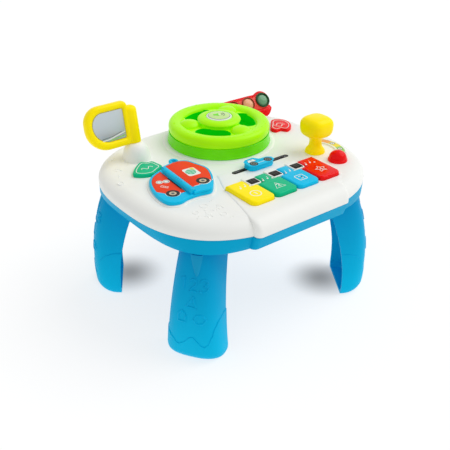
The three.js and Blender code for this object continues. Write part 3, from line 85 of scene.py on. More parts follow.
class TableColours(bpy.types.PropertyGroup):
    white: colour("Play top", (0.965, 0.97, 0.955))
    blue: colour("Lower housing", (0.0, 0.67, 0.85))
    yellow: colour("Mirror frame", (1.0, 0.91, 0.0))
    lime: colour("Steering wheel", (0.68, 0.98, 0.0))
    green: colour("Wheel base", (0.44, 0.9, 0.02))
    red: colour("Red pieces", (0.93, 0.03, 0.04))
    teal: colour("Teal pieces", (0.0, 0.76, 0.54))
    cyan: colour("Light blue pieces", (0.03, 0.76, 0.93))
    orange: colour("Book pages", (0.97, 0.28, 0.15))
    charcoal: colour("Dark pieces", (0.17, 0.155, 0.145))
    steel: colour("Steel pieces", (0.7, 0.72, 0.74))
    rubber: colour("Rubber pads", (0.42, 0.43, 0.45))
    silver: colour("Mirror sheet", (0.75, 0.79, 0.81))
    pale: colour("Horn label", (0.8, 0.94, 0.6))
    salmon: colour("Traffic light panel", (0.95, 0.27, 0.19))
    amber: colour("Amber lens", (0.94, 0.66, 0.48))
    leaf: colour("Green lens", (0.4, 0.62, 0.46))
    circuit: colour("Circuit board", (0.12, 0.42, 0.27))
    chalk: colour("White prints", (0.95, 0.97, 0.95))
    ink: colour("Black prints", (0.1, 0.09, 0.09))
    beige: colour("Printed tyre rings", (0.84, 0.77, 0.64))
    fog: colour("Grey prints", (0.5, 0.53, 0.52))
    lemon: colour("Yellow prints", (0.96, 0.89, 0.28))
    peach: colour("Orange dial print", (0.97, 0.68, 0.34))
    mint: colour("Green dial print", (0.62, 0.85, 0.42))
    bottle: colour("Green lens ring", (0.04, 0.27, 0.12))
    brick: colour("Amber lens ring", (0.62, 0.22, 0.13))
    navy: colour("Spine prints", (0.0, 0.4, 0.66))
    frost: colour("Horn print", (0.9, 0.97, 0.84))
    clover: colour("Wheel well", (0.02, 0.78, 0.05))
    # The legs' colour near the floor and a darker one near the housing: the darkening between them is painted
    # shade under the table top.
    painted_shade_legs: colour("Legs near the floor", (0.0, 0.76, 0.94))
    deep: colour("Legs near the housing", (0.0, 0.6, 0.82))
    # A lighter blue on the tapers: a painted highlight where they catch the light.
    painted_glint: colour("Tapers on the legs", (0.1, 0.63, 0.82))


class TableSizes(bpy.types.PropertyGroup):
    leg_wall: length("Leg wall", "Thickness of the legs' walls", 2.8)
    boot_lip: length("Boot lip", "How far the boots stand out from the legs", 0.9)
    stroke_radius: length("Stroke radius", "Radius of the raised strokes on the legs", 1.6)
    doodle_radius: length("Doodle radius", "Radius of the raised lines on the play top", 0.75)
    key_edge: length("Key edge", "Rounding of the keys' upper edges", 3.2)
    grip_width: length("Grip width", "Width of the wheel's grip, seen from above", 21.2)
    grip_height: length("Grip height", "Height of the wheel's grip", 19)
    pad_length: length("Pad length", "Length of the pads on the wheel's spokes", 34)
    pad_width: length("Pad width", "Width of the pads on the wheel's spokes", 31)
    pad_height: length("Pad height", "Height of the pads on the wheel's spokes", 16)
    car_length: length("Car length", "Length of the slider car", 43)
    car_width: length("Car width", "Width of the slider car", 22)
    tyre_radius: length("Tyre radius", "Radius of the slider car's printed tyres", 6.2)
    post_radius: length("Post radius", "Radius of the mirror's post", 10.3)
    frame_depth: length("Frame depth", "Thickness of the mirror's frame", 15)
    lever_width: length("Lever width", "Width of the gear lever's head", 43)
    lever_height: length("Lever height", "Height of the gear lever", 55.7)
    dome_radius: length("Dome radius", "Radius of the red dome", 13.2)
    dome_height: length("Dome height", "Height of the red dome's crown", 11.5)
    button_reach: length("Button reach", "Reach of the two small buttons from their middle", 24)
    lens_radius: length("Lens radius", "Radius of the traffic light's lenses", 9.8)


def size(name):
    """A size of the table that a user can change, in millimetres."""
    return round(getattr(bpy.context.scene.table_sizes, name) / MM, 4)


class StageSettings(bpy.types.PropertyGroup):
    lens: bpy.props.FloatProperty(name="Lens", description="Focal length in millimetres", default=60)
    azimuth: bpy.props.FloatProperty(
        name="Azimuth", description="Compass turn of the view", subtype="ANGLE", default=math.radians(-38.46))
    pitch: bpy.props.FloatProperty(
        name="Pitch", description="Tilt of the view from straight down", subtype="ANGLE",
        default=math.radians(59.74))
    roll: bpy.props.FloatProperty(
        name="Roll", description="Turn of the view about its axis", subtype="ANGLE",
        default=math.radians(0.79))
    place: bpy.props.FloatVectorProperty(
        name="Camera place", description="Where the camera stands", subtype="TRANSLATION",
        default=(-0.62775, -0.77336, 0.67988))
    sun: bpy.props.FloatProperty(name="Sun", description="Strength of the wide soft light", default=1.3)
    sun_spread: bpy.props.FloatProperty(
        name="Sun spread", description="How wide the soft light is", subtype="ANGLE",
        default=math.radians(50))
    sun_aim: bpy.props.FloatVectorProperty(
        name="Sun aim", description="Which way the soft light shines", subtype="DIRECTION",
        default=(-0.75, 0.25, -1))
    sky: bpy.props.FloatProperty(name="Sky", description="Strength of the even light", default=0.6)
    floor_half: bpy.props.FloatProperty(
        name="Floor reach", description="Half the width of the floor", unit="LENGTH", default=6)
    floor_glow: bpy.props.FloatProperty(name="Floor glow", description="Own light of the floor", default=0.72)
    floor_tone: bpy.props.FloatProperty(
        name="Floor tone", description="Brightness of the floor's paint", default=0.33)
    # Painted shadows on the floor: how dark their middles are and how far they reach.
    shadow_share: bpy.props.FloatProperty(
        name="Shadow share", description="Share of the floor's brightness in a painted shadow", default=0.36)
    shadow_reach: bpy.props.FloatProperty(
        name="Shadow reach", description="Radius of the painted shadows", unit="LENGTH", default=0.066)


def linear(rgb):
    """Screen colour to shader colour."""
    steps = [c / 12.92 if c <= 0.04045 else ((c + 0.055) / 1.055) ** 2.4 for c in rgb]
    return (*steps, 1)


def node(tree, kind, place, **values):
    """Adds one node to a tree and sets its values."""
    made = tree.nodes.new(kind)
    made.location = place
    for key, value in values.items():
        setattr(made, key, value)
    return made


# How much the dust adds to the roughness.
DUST = 0.12


def skin_group():
    """Moulded plastic: a slow change of tone, a little dust and a fine grain."""
    group = bpy.data.node_groups.get("Moulded skin")
    if group:
        return group
    group = bpy.data.node_groups.new("Moulded skin", "ShaderNodeTree")
    face = group.interface
    face.new_socket("Colour", in_out="INPUT", socket_type="NodeSocketColor")
    for name, value in (("Tone", 0.05), ("Roughness", 0.4), ("Grain", 0.1), ("Grain size", 900.0)):
        face.new_socket(name, in_out="INPUT", socket_type="NodeSocketFloat").default_value = value
    face.new_socket("Colour", in_out="OUTPUT", socket_type="NodeSocketColor")
    face.new_socket("Roughness", in_out="OUTPUT", socket_type="NodeSocketFloat")
    face.new_socket("Normal", in_out="OUTPUT", socket_type="NodeSocketVector")
    entry = node(group, "NodeGroupInput", (-900, 0))
    leave = node(group, "NodeGroupOutput", (600, 0))
    coords = node(group, "ShaderNodeTexCoord", (-900, -300))
    slow = node(group, "ShaderNodeTexNoise", (-650, 100))
    slow.inputs["Scale"].default_value = 14
    slow.inputs["Detail"].default_value = 3
    fine = node(group, "ShaderNodeTexNoise", (-650, -300))
    fine.inputs["Detail"].default_value = 2
    dust = node(group, "ShaderNodeTexNoise", (-650, -100))
    dust.inputs["Scale"].default_value = 60
    shade = node(group, "ShaderNodeMath", (-430, 100), operation="MULTIPLY_ADD")
    tone = node(group, "ShaderNodeMix", (100, 150), data_type="RGBA", blend_type="MULTIPLY")
    grey = node(group, "ShaderNodeMapRange", (-200, 150))
    rough = node(group, "ShaderNodeMath", (-200, -80), operation="MULTIPLY_ADD")
    bump = node(group, "ShaderNodeBump", (200, -300))
    bump.inputs["Distance"].default_value = 0.0004
    link = group.links.new
    for noise in (slow, fine, dust):
        link(coords.outputs["Object"], noise.inputs["Vector"])
    link(entry.outputs["Grain size"], fine.inputs["Scale"])
    link(slow.outputs["Fac"], grey.inputs["Value"])
    grey.inputs["From Min"].default_value = 0.35
    grey.inputs["From Max"].default_value = 0.65
    grey.inputs["To Min"].default_value = 1
    link(entry.outputs["Tone"], shade.inputs[0])
    shade.inputs[1].default_value = -1
    shade.inputs[2].default_value = 1
    link(shade.outputs[0], grey.inputs["To Max"])
    link(entry.outputs["Colour"], tone.inputs["A"])
    link(grey.outputs["Result"], tone.inputs["B"])
    tone.inputs["Factor"].default_value = 1
    link(dust.outputs["Fac"], rough.inputs[0])
    rough.inputs[1].default_value = DUST
    link(entry.outputs["Roughness"], rough.inputs[2])
    link(fine.outputs["Fac"], bump.inputs["Height"])
    link(entry.outputs["Grain"], bump.inputs["Strength"])
    link(tone.outputs["Result"], leave.inputs["Colour"])
    link(rough.outputs[0], leave.inputs["Roughness"])
    link(bump.outputs["Normal"], leave.inputs["Normal"])
    return group


# Height in metres below which the legs' painted shade leaves their colour as it is.
PAINTED_SHADE_START = 0.02


def plastic(name, rgb, roughness=0.34, tone=0.05, grain=0.06, grain_size=900.0, metal=0.0, glow=0.0, coat=0.0,
            shine=0.25, painted_shade=None):
    """A material over the moulded skin; a painted shade is the darker colour it takes high above the floor,
    and a glow is painted light.
    """
    made = bpy.data.materials.get(name)
    if made:
        return made
    made = bpy.data.materials.new(name)
    made.use_nodes = True
    tree = made.node_tree
    shader = tree.nodes["Principled BSDF"]
    skin = node(tree, "ShaderNodeGroup", (-350, 200), node_tree=skin_group())
    skin.inputs["Colour"].default_value = linear(rgb)
    skin.inputs["Tone"].default_value = tone
    skin.inputs["Roughness"].default_value = roughness - DUST / 2
    skin.inputs["Grain"].default_value = grain
    skin.inputs["Grain size"].default_value = grain_size
    # Painted shade: the colour darkens with height, from a low height up to the housing.
    if painted_shade:
        place = node(tree, "ShaderNodeTexCoord", (-1100, 200))
        parts = node(tree, "ShaderNodeSeparateXYZ", (-900, 200))
        height = node(tree, "ShaderNodeMapRange", (-720, 200))
        height.inputs["From Min"].default_value = PAINTED_SHADE_START
        height.inputs["From Max"].default_value = BOTTOM * MM
        blend = node(tree, "ShaderNodeMix", (-540, 200), data_type="RGBA")
        blend.inputs["A"].default_value = linear(rgb)
        blend.inputs["B"].default_value = painted_shade
        tree.links.new(place.outputs["Object"], parts.inputs[0])
        tree.links.new(parts.outputs["Z"], height.inputs["Value"])
        tree.links.new(height.outputs["Result"], blend.inputs["Factor"])
        tree.links.new(blend.outputs["Result"], skin.inputs["Colour"])
    tree.links.new(skin.outputs["Colour"], shader.inputs["Base Color"])
    tree.links.new(skin.outputs["Roughness"], shader.inputs["Roughness"])
    tree.links.new(skin.outputs["Normal"], shader.inputs["Normal"])
    shader.inputs["Metallic"].default_value = metal
    shader.inputs["Coat Weight"].default_value = coat
    shader.inputs["Specular IOR Level"].default_value = shine
    # Glow: an own light of a part that is no lamp, painted light that lifts its shaded sides.
    if glow:
        tree.links.new(skin.outputs["Colour"], shader.inputs["Emission Color"])
        shader.inputs["Emission Strength"].default_value = glow
    return made


def palette(name):
    """The material of that name, made from the table's colours when it is first asked for."""
    rgb = bpy.context.scene.table_colours
    looks = {
        "white": dict(roughness=0.42, tone=0.02, grain=0.05),
        "blue": dict(roughness=0.42, grain=0.08, grain_size=700.0, shine=0.05),
        # The legs' look darkens towards the housing: painted shade under the table top.
        "painted_shade_legs": dict(roughness=0.42, grain=0.08, grain_size=700.0, shine=0.05, painted_shade=linear(rgb.deep)),
        # Painted highlight on the leg tapers.
        "painted_glint": dict(roughness=0.42, shine=0.05),
        # The glow on yellow, lime, green, clover, red and cyan is painted light that lifts their shaded
        # sides; clover glows most.
        "yellow": dict(roughness=0.3, shine=0.12, glow=0.12),
        "lime": dict(roughness=0.3, grain=0.3, grain_size=420.0, shine=0.15, glow=0.12),
        "green": dict(roughness=0.22, tone=0.16, shine=0.15, glow=0.12),
        "clover": dict(roughness=0.3, shine=0.1, glow=0.3),
        "red": dict(roughness=0.16, shine=0.12, glow=0.1),
        "teal": dict(roughness=0.28, shine=0.1),
        "cyan": dict(roughness=0.3, shine=0.1, glow=0.05),
        "orange": dict(roughness=0.45, grain=0.03, shine=0.08),
        "charcoal": dict(roughness=0.5, shine=0.1),
        "steel": dict(roughness=0.3, metal=1.0),
        "rubber": dict(roughness=0.8, grain=0.3),
        "silver": dict(roughness=0.38, metal=1.0, tone=0.02, grain=0.01),
        "pale": dict(roughness=0.3),
        "salmon": dict(roughness=0.2),
        "amber": dict(roughness=0.15, coat=0.3),
        "leaf": dict(roughness=0.15, coat=0.3),
        "circuit": dict(roughness=0.55),
    }
    print_look = dict(roughness=0.45, tone=0.08, grain=0.02)
    return plastic(f"{name} finish", getattr(rgb, name), **looks.get(name, print_look))


# Where the two painted shadows lie on the floor, in metres.
PAINTED_SHADOWS = [(-0.119, 0.1125), (0.117, -0.084)]


def floor_look(settings):
    """Near-white paper with a soft painted shadow beside two of the legs."""
    made = bpy.data.materials.new("floor")
    made.use_nodes = True
    tree = made.node_tree
    shader = tree.nodes["Principled BSDF"]
    coords = node(tree, "ShaderNodeTexCoord", (-1100, 0))
    # The mask of the painted shadows, highest at their middles.
    dark = None
    for x, y in PAINTED_SHADOWS:
        where = node(tree, "ShaderNodeMapping", (-900, 0), vector_type="TEXTURE")
        where.inputs["Location"].default_value = (x, y, 0)
        where.inputs["Scale"].default_value = (settings.shadow_reach,) * 3
        ball = node(tree, "ShaderNodeTexGradient", (-700, 0), gradient_type="SPHERICAL")
        tree.links.new(coords.outputs["Object"], where.inputs["Vector"])
        tree.links.new(where.outputs["Vector"], ball.inputs["Vector"])
        if dark is None:
            dark = ball.outputs["Fac"]
        else:
            both = node(tree, "ShaderNodeMath", (-500, 0), operation="MAXIMUM")
            tree.links.new(dark, both.inputs[0])
            tree.links.new(ball.outputs["Fac"], both.inputs[1])
            dark = both.outputs[0]
    paint = node(tree, "ShaderNodeMapRange", (-300, 0))
    glow = node(tree, "ShaderNodeMapRange", (-300, -250))
    for span, high in ((paint, settings.floor_tone), (glow, settings.floor_glow)):
        span.inputs["To Min"].default_value = high
        span.inputs["To Max"].default_value = high * settings.shadow_share
        span.interpolation_type = "SMOOTHSTEP"
        tree.links.new(dark, span.inputs["Value"])
    tree.links.new(paint.outputs["Result"], shader.inputs["Base Color"])
    shader.inputs["Emission Color"].default_value = (1, 1, 1, 1)
    tree.links.new(glow.outputs["Result"], shader.inputs["Emission Strength"])
    shader.inputs["Roughness"].default_value = 1
    shader.inputs["Specular IOR Level"].default_value = 0
    return made


CARRIED = {
    "white": ["top_shell", "slider_clip", "gear_retainer"],
    "blue": ["lower_housing", "leg_front_left", "leg_front_right", "leg_back_left", "leg_back_right",
             "book_tray", "book_leaf", "battery_cover"],
    "yellow": ["mirror_frame", "gear_knob", "key_yellow"],
    "lime": ["steering_wheel"],
    "green": ["wheel_base"],
    "red": ["dome_button", "red_button", "key_red", "traffic_housing", "lens_red"],
    "teal": ["green_button", "key_teal"],
    "cyan": ["slider_car", "key_blue"],
    "orange": ["book_page", "leaf_page"],
    "charcoal": ["black_key_1", "black_key_2", "black_key_3", "power_switch", "speaker"],
    "steel": ["wheel_axle", "key_hinge_rod", "mirror_pin", "book_pin", "battery_cover_screw", "battery_1",
              "battery_2", "battery_3", "housing_screw_1", "housing_screw_2", "housing_screw_3",
              "housing_screw_4"],
    "rubber": ["key_pad_1", "key_pad_2", "key_pad_3", "key_pad_4", "dome_pad", "green_pad", "red_pad"],
    "silver": ["mirror_glass"],
    "pale": ["horn_button"],
    "salmon": ["traffic_face"],
    "amber": ["lens_amber", "gear_dial"],
    "leaf": ["lens_green"],
    "circuit": ["circuit_board"],
}


class TABLE_OT_carried(bpy.types.Operator):
    """Gives every piece of the frame its material"""
    bl_idname = "table.carried"
    bl_label = "Carried pieces"

    def execute(self, context):
        for name, pieces in CARRIED.items():
            for piece in pieces:
                obj = frame["nodes"][piece]
                obj.data.materials.clear()
                obj.data.materials.append(palette(name))
        return {"FINISHED"}


def white_world(strength):
    """White behind the table and an even light on it."""
    world = bpy.data.worlds.new("White")
    bpy.context.scene.world = world
    world.use_nodes = True
    tree = world.node_tree
    tree.nodes.clear()
    path = node(tree, "ShaderNodeLightPath", (-600, 200))
    seen = node(tree, "ShaderNodeMath", (-400, 100), operation="MAXIMUM")
    clear = node(tree, "ShaderNodeMath", (-250, 100), operation="MAXIMUM")
    light = node(tree, "ShaderNodeBackground", (-200, 0))
    light.inputs["Color"].default_value = (1, 1, 1, 1)
    light.inputs["Strength"].default_value = strength
    back = node(tree, "ShaderNodeBackground", (-200, -150))
    back.inputs["Color"].default_value = (1, 1, 1, 1)
    mix = node(tree, "ShaderNodeMixShader", (0, 0))
    out = node(tree, "ShaderNodeOutputWorld", (200, 0))
    tree.links.new(path.outputs["Is Camera Ray"], seen.inputs[0])
    tree.links.new(path.outputs["Is Glossy Ray"], seen.inputs[1])
    tree.links.new(seen.outputs[0], clear.inputs[0])
    tree.links.new(path.outputs["Is Transmission Ray"], clear.inputs[1])
    tree.links.new(clear.outputs[0], mix.inputs["Fac"])
    tree.links.new(light.outputs[0], mix.inputs[1])
    tree.links.new(back.outputs[0], mix.inputs[2])
    tree.links.new(mix.outputs[0], out.inputs["Surface"])


# The camera's sensor and nearest distance, and the width and height of the picture.
SENSOR_WIDTH = 36
NEAREST = 0.01
PICTURE_SIZE = 450


class TABLE_OT_stage(bpy.types.Operator):
    """Sets up the floor, the wide soft sun, the background and the camera"""
    bl_idname = "table.stage"
    bl_label = "Stage"

    def execute(self, context):
        settings = context.scene.table_stage
        scene = context.scene
        bm = bmesh.new()
        bmesh.ops.create_grid(bm, x_segments=1, y_segments=1, size=settings.floor_half)
        floor = new_object("Floor", bm)
        floor.data.materials.append(floor_look(settings))
        light = bpy.data.lights.new("Sun", "SUN")
        light.energy = settings.sun
        light.angle = settings.sun_spread
        sun = bpy.data.objects.new("Sun", light)
        sun.rotation_euler = Vector(settings.sun_aim).to_track_quat("-Z", "Y").to_euler()
        scene.collection.objects.link(sun)
        white_world(settings.sky)
        data = bpy.data.cameras.new("Camera")
        data.lens = settings.lens
        data.sensor_width = SENSOR_WIDTH
        data.clip_start = NEAREST
        camera = bpy.data.objects.new("Camera", data)
        scene.collection.objects.link(camera)
        turn = (Matrix.Rotation(settings.azimuth, 4, "Z") @ Matrix.Rotation(settings.pitch, 4, "X")
                @ Matrix.Rotation(settings.roll, 4, "Z"))
        camera.matrix_world = Matrix.Translation(settings.place) @ turn
        scene.camera = camera
        scene.view_settings.view_transform = "Standard"
        scene.render.resolution_x = PICTURE_SIZE
        scene.render.resolution_y = PICTURE_SIZE
        return {"FINISHED"}


# Edges sharper than this stay sharp in the shading.
SHARP = math.radians(35)


def new_object(name, bm):
    """Turns a built mesh into an object at the origin, shaded smooth between its sharp edges."""
    bmesh.ops.recalc_face_normals(bm, faces=bm.faces)
    name = name.replace(" ", "_")
    mesh = bpy.data.meshes.new(name)
    for face in bm.faces:
        face.smooth = True
    bm.to_mesh(mesh)
    bm.free()
    mesh.set_sharp_from_angle(angle=SHARP)
    made = bpy.data.objects.new(name, mesh)
    bpy.context.collection.objects.link(made)
    return made


def stand_in(obj, *nodes):
    """Lets an object take the place of CAD pieces and move with their body."""
    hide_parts(*nodes)
    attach(obj, frame["nodes"][nodes[0]]["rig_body"])


def put(name, bm, look, *nodes, place=None):
    """A new object from a mesh in millimetres, which may stand for nodes of the frame."""
    to_frame = Matrix.Translation(SHIFT * MM) @ Matrix.Diagonal((MM, MM, MM, 1))
    bmesh.ops.transform(bm, matrix=to_frame @ (place or Matrix()), verts=bm.verts)
    made = new_object(name, bm)
    if look is not None:
        made.data.materials.append(palette(look))
    if nodes:
        stand_in(made, *nodes)
    return made


def layer(name, outline, bottom, top, look, *nodes, edge=0.0, steps=4, foot_edge=0.0, place=None):
    """A plate of an outline between two heights."""
    bm = slab(bmesh.new(), outline, bottom, top, edge, steps, foot_edge)
    return put(name, bm, look, *nodes, place=place)


def turned(name, profile, look, *nodes, steps=64, place=None):
    """A round piece spun from a profile of radius and height."""
    return put(name, lathe(bmesh.new(), profile, steps), look, *nodes, place=place)


def skinned(name, rings, look, *nodes, closed=False, place=None):
    """A piece skinned over equal rings of points."""
    return put(name, skin(bmesh.new(), rings, closed=closed), look, *nodes, place=place)


def rod(name, path, radius, look, closed=False, steps=8, place=None):
    """A round rod along a path of points."""
    return put(name, tube(bmesh.new(), path, radius, closed, steps), look, place=place)


def ball(name, look, across, up, place):
    """A ball of radius 1 that its place stretches and moves."""
    bm = bmesh.new()
    bmesh.ops.create_uvsphere(bm, u_segments=across, v_segments=up, radius=1)
    return put(name, bm, look, place=place)


def use_up(parts):
    """Deletes objects that another piece was made from."""
    for part in parts:
        used = part.data
        bpy.data.objects.remove(part)
        bpy.data.meshes.remove(used)


def carve(obj, cutters, operation="DIFFERENCE"):
    """Cuts, joins or intersects an object with others, which are used up."""
    for cutter in cutters:
        step = obj.modifiers.new(operation, "BOOLEAN")
        step.object = cutter
        step.operation = operation
        step.solver = "EXACT"
    shape = bpy.data.meshes.new_from_object(obj.evaluated_get(bpy.context.evaluated_depsgraph_get()))
    obj.modifiers.clear()
    old = obj.data
    obj.data = shape
    bpy.data.meshes.remove(old)
    use_up(cutters)
    shape.set_sharp_from_angle(angle=SHARP)
    return obj


def together(name, parts, *nodes, body=None):
    """Joins finished objects into one piece of the table."""
    bm = bmesh.new()
    slots = []
    view = bpy.context.evaluated_depsgraph_get()
    for part in parts:
        shape = bpy.data.meshes.new_from_object(part.evaluated_get(view))
        start = len(bm.faces)
        bm.from_mesh(shape)
        bm.faces.ensure_lookup_table()
        look = part.data.materials[0]
        if look not in slots:
            slots.append(look)
        for face in bm.faces[start:]:
            face.material_index = slots.index(look)
    name = name.replace(" ", "_")
    mesh = bpy.data.meshes.new(name)
    bm.to_mesh(mesh)
    bm.free()
    for look in slots:
        mesh.materials.append(look)
    mesh.set_sharp_from_angle(angle=SHARP)
    made = bpy.data.objects.new(name, mesh)
    bpy.context.collection.objects.link(made)
    use_up(parts)
    if nodes:
        stand_in(made, *nodes)
    elif body:
        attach(made, body)
    return made


def band(bm, outer, inner, bottom, top):
    """A flat ring between two outlines with the same number of points."""
    corners = [ring_at(outer, bottom), ring_at(outer, top), ring_at(inner, top), ring_at(inner, bottom)]
    return skin(bm, corners, closed=True)


def disc(x, y, radius, steps=32):
    """A round outline."""
    return arc(x, y, radius, radius, 0, 360 - 360 / steps, steps - 1)


# How deep a print reaches into its face, and how far it stands proud of it.
PRINT_ROOT = 0.3
PRINT_LIFT = 0.12


def decal(outline, z, look, place=None, lift=PRINT_LIFT):
    """A thin print on an upward face at the height z."""
    return layer("print", outline, z - PRINT_ROOT, z + lift, look, place=place)


def ring_print(x, y, outer, inner, z, look, place=None, lift=PRINT_LIFT):
    """A thin printed ring."""
    bm = band(bmesh.new(), disc(x, y, outer), disc(x, y, inner), z - PRINT_ROOT, z + lift)
    return put("print", bm, look, place=place)


def line(path, z, look, width=0.8, closed=False, place=None, lift=PRINT_LIFT):
    """A printed line: a flat strip along a path."""
    count = len(path)
    left, right = [], []
    for i, (x, y) in enumerate(path):
        before = path[i - 1] if closed or i else path[i]
        after = path[(i + 1) % count] if closed or i < count - 1 else path[i]
        along = Vector((after[0] - before[0], after[1] - before[1])).normalized()
        left.append((x - along.y * width / 2, y + along.x * width / 2))
        right.append((x + along.y * width / 2, y - along.x * width / 2))
    if not closed:
        return decal(right + left[::-1], z, look, place, lift)
    outer, inner = (right, left) if area(path) > 0 else (left, right)
    return put("print", band(bmesh.new(), outer, inner, z - PRINT_ROOT, z + lift), look, place=place)


def area(path):
    """Twice the area inside a closed path, above nought when the path runs anticlockwise."""
    return sum(a[0] * b[1] - b[0] * a[1] for a, b in zip(path, path[1:] + path[:1]))


def star(x, y, outer, inner, points=5, turn=90):
    """A star outline."""
    tips = []
    for i in range(2 * points):
        reach = outer if i % 2 == 0 else inner
        angle = math.radians(turn + 180 * i / points)
        tips.append((x + reach * math.cos(angle), y + reach * math.sin(angle)))
    return tips


def moved(path, x=0.0, y=0.0, turn=0.0, scale=1.0):
    """A path scaled, turned by degrees and moved."""
    c = math.cos(math.radians(turn)) * scale
    s = math.sin(math.radians(turn)) * scale
    return [(x + a * c - b * s, y + a * s + b * c) for a, b in path]


def skin(bm, rings, caps=True, closed=False):
    """Skins equal rings of points by extruding the first ring's edges from one ring to the next."""
    row = bmesh.ops.create_circle(bm, segments=len(rings[0]), radius=1)["verts"]
    for vert, point in zip(row, rings[0]):
        vert.co = point
    first = row
    edges = list({edge for vert in row for edge in vert.link_edges})
    if caps and not closed:
        bmesh.ops.contextual_create(bm, geom=edges)
    for ring in rings[1:]:
        made = bmesh.ops.extrude_edge_only(bm, edges=edges)["geom"]
        fresh = {item for item in made if isinstance(item, bmesh.types.BMVert)}
        row = [next(edge.other_vert(vert) for edge in vert.link_edges if edge.other_vert(vert) in fresh)
               for vert in row]
        for vert, point in zip(row, ring):
            vert.co = point
        edges = [edge for edge in made if isinstance(edge, bmesh.types.BMEdge)
                 and edge.verts[0] in fresh and edge.verts[1] in fresh]
    if closed:
        start = list({edge for vert in first for edge in vert.link_edges
                      if edge.other_vert(vert) in first})
        bmesh.ops.bridge_loops(bm, edges=start + edges)
    elif caps:
        bmesh.ops.contextual_create(bm, geom=edges)
    return bm


def lathe(bm, profile, steps=64):
    """Spins a profile of radius and height about the upright axis at the origin."""
    verts = [bm.verts.new((radius, 0, height)) for radius, height in profile]
    edges = [bm.edges.new(pair) for pair in zip(verts, verts[1:])]
    bmesh.ops.spin(bm, geom=verts + edges, cent=(0, 0, 0), axis=(0, 0, 1), angle=math.tau, steps=steps,
                   use_merge=True)
    bmesh.ops.remove_doubles(bm, verts=bm.verts, dist=1e-6)
    return bm


def arc(centre_x, centre_y, half_x, half_y, start, end, steps):
    """Points of an arc, with its angles in degrees."""
    angles = [math.radians(start + (end - start) * i / steps) for i in range(steps + 1)]
    return [(centre_x + half_x * math.cos(a), centre_y + half_y * math.sin(a)) for a in angles]


def oval(half_x, half_y, power, steps):
    """A rounded oval: a power of 2 is an ellipse, more is squarer."""
    points = []
    for i in range(steps):
        a = math.tau * i / steps
        reach = (abs(math.cos(a) / half_x) ** power + abs(math.sin(a) / half_y) ** power) ** (-1 / power)
        points.append((reach * math.cos(a), reach * math.sin(a)))
    return points


def rounded_rect(left, right, front, back, corners, steps=8):
    """A rectangle with round corners: front right, back right, back left, front left."""
    fr, br, bl, fl = corners if isinstance(corners, tuple) else (corners,) * 4
    return (arc(right - fr, front + fr, fr, fr, -90, 0, steps)
            + arc(right - br, back - br, br, br, 0, 90, steps)
            + arc(left + bl, back - bl, bl, bl, 90, 180, steps)
            + arc(left + fl, front + fl, fl, fl, 180, 270, steps))


def grown(outline, by):
    """An outline moved outwards along its normals."""
    points = []
    count = len(outline)
    for i, (x, y) in enumerate(outline):
        before = outline[i - 1]
        after = outline[(i + 1) % count]
        first = Vector((y - before[1], before[0] - x))
        second = Vector((after[1] - y, x - after[0]))
        if first.length < 1e-7:
            first = second
        if second.length < 1e-7:
            second = first
        normal = first.normalized() + second.normalized()
        normal.normalize()
        spread = max(0.5, normal.dot(second.normalized()))
        points.append((x + normal.x * by / spread, y + normal.y * by / spread))
    return points


def spline(knots, steps=8):
    """A smooth closed centripetal curve through the knots, anticlockwise."""
    def between(a, b):
        """The root of the distance between two knots."""
        return max(1e-6, (Vector(a) - Vector(b)).length ** 0.5)

    points = []
    count = len(knots)
    for i in range(count):
        p0, p1, p2, p3 = (Vector(knots[(i + k) % count]) for k in (-1, 0, 1, 2))
        t1 = between(p0, p1)
        t2 = t1 + between(p1, p2)
        t3 = t2 + between(p2, p3)
        for step in range(steps):
            t = t1 + (t2 - t1) * step / steps
            a1 = p0 * (t1 - t) / t1 + p1 * t / t1
            a2 = p1 * (t2 - t) / (t2 - t1) + p2 * (t - t1) / (t2 - t1)
            a3 = p2 * (t3 - t) / (t3 - t2) + p3 * (t - t2) / (t3 - t2)
            b1 = a1 * (t2 - t) / t2 + a2 * t / t2
            b2 = a2 * (t3 - t) / (t3 - t1) + a3 * (t - t1) / (t3 - t1)
            point = b1 * (t2 - t) / (t2 - t1) + b2 * (t - t1) / (t2 - t1)
            points.append((point.x, point.y))
    return points if area(points) > 0 else points[::-1]


# A leg's half width in millimetres, by which shares across it are turned into lengths.
LEG_SHARE = 34


def dense(path, closed=False, step=1.5, scale=(LEG_SHARE, 1)):
    """A path with points no further apart than a step, so that it follows a curved skin."""
    points = []
    ends = list(zip(path, path[1:] + path[:1])) if closed else list(zip(path, path[1:]))
    for a, b in ends:
        count = max(1, math.ceil(math.hypot((b[0] - a[0]) * scale[0], (b[1] - a[1]) * scale[1]) / step))
        points += [(a[0] + (b[0] - a[0]) * i / count, a[1] + (b[1] - a[1]) * i / count) for i in range(count)]
    return points if closed else points + [path[-1]]


def clipped(outline, x, y, level):
    """The part of an outline where its reach along the direction x, y is at least a level."""
    reach = [px * x + py * y - level for px, py in outline]
    kept = []
    for i, point in enumerate(outline):
        j = (i + 1) % len(outline)
        if reach[i] >= 0:
            kept.append(point)
        if (reach[i] >= 0) != (reach[j] >= 0):
            share = reach[i] / (reach[i] - reach[j])
            kept.append(tuple(a + (b - a) * share for a, b in zip(point, outline[j])))
    return kept


def quarter(steps):
    """Angles from nought to a right angle."""
    return [math.pi / 2 * i / steps for i in range(steps + 1)]


def slab(bm, outline, bottom, top, edge=0.0, steps=4, foot_edge=0.0):
    """An upright plate of an outline, its top and foot edges rounded inwards."""
    rings = []
    if foot_edge:
        for a in quarter(steps)[:-1]:
            rings.append((-foot_edge * (1 - math.sin(a)), bottom + foot_edge * (1 - math.cos(a))))
    rings.append((0, bottom + foot_edge))
    if edge:
        for a in quarter(steps):
            rings.append((-edge * (1 - math.cos(a)), top - edge * (1 - math.sin(a))))
    else:
        rings.append((0, top))
    return skin(bm, [ring_at(grown(outline, inset) if inset else outline, z) for inset, z in rings])


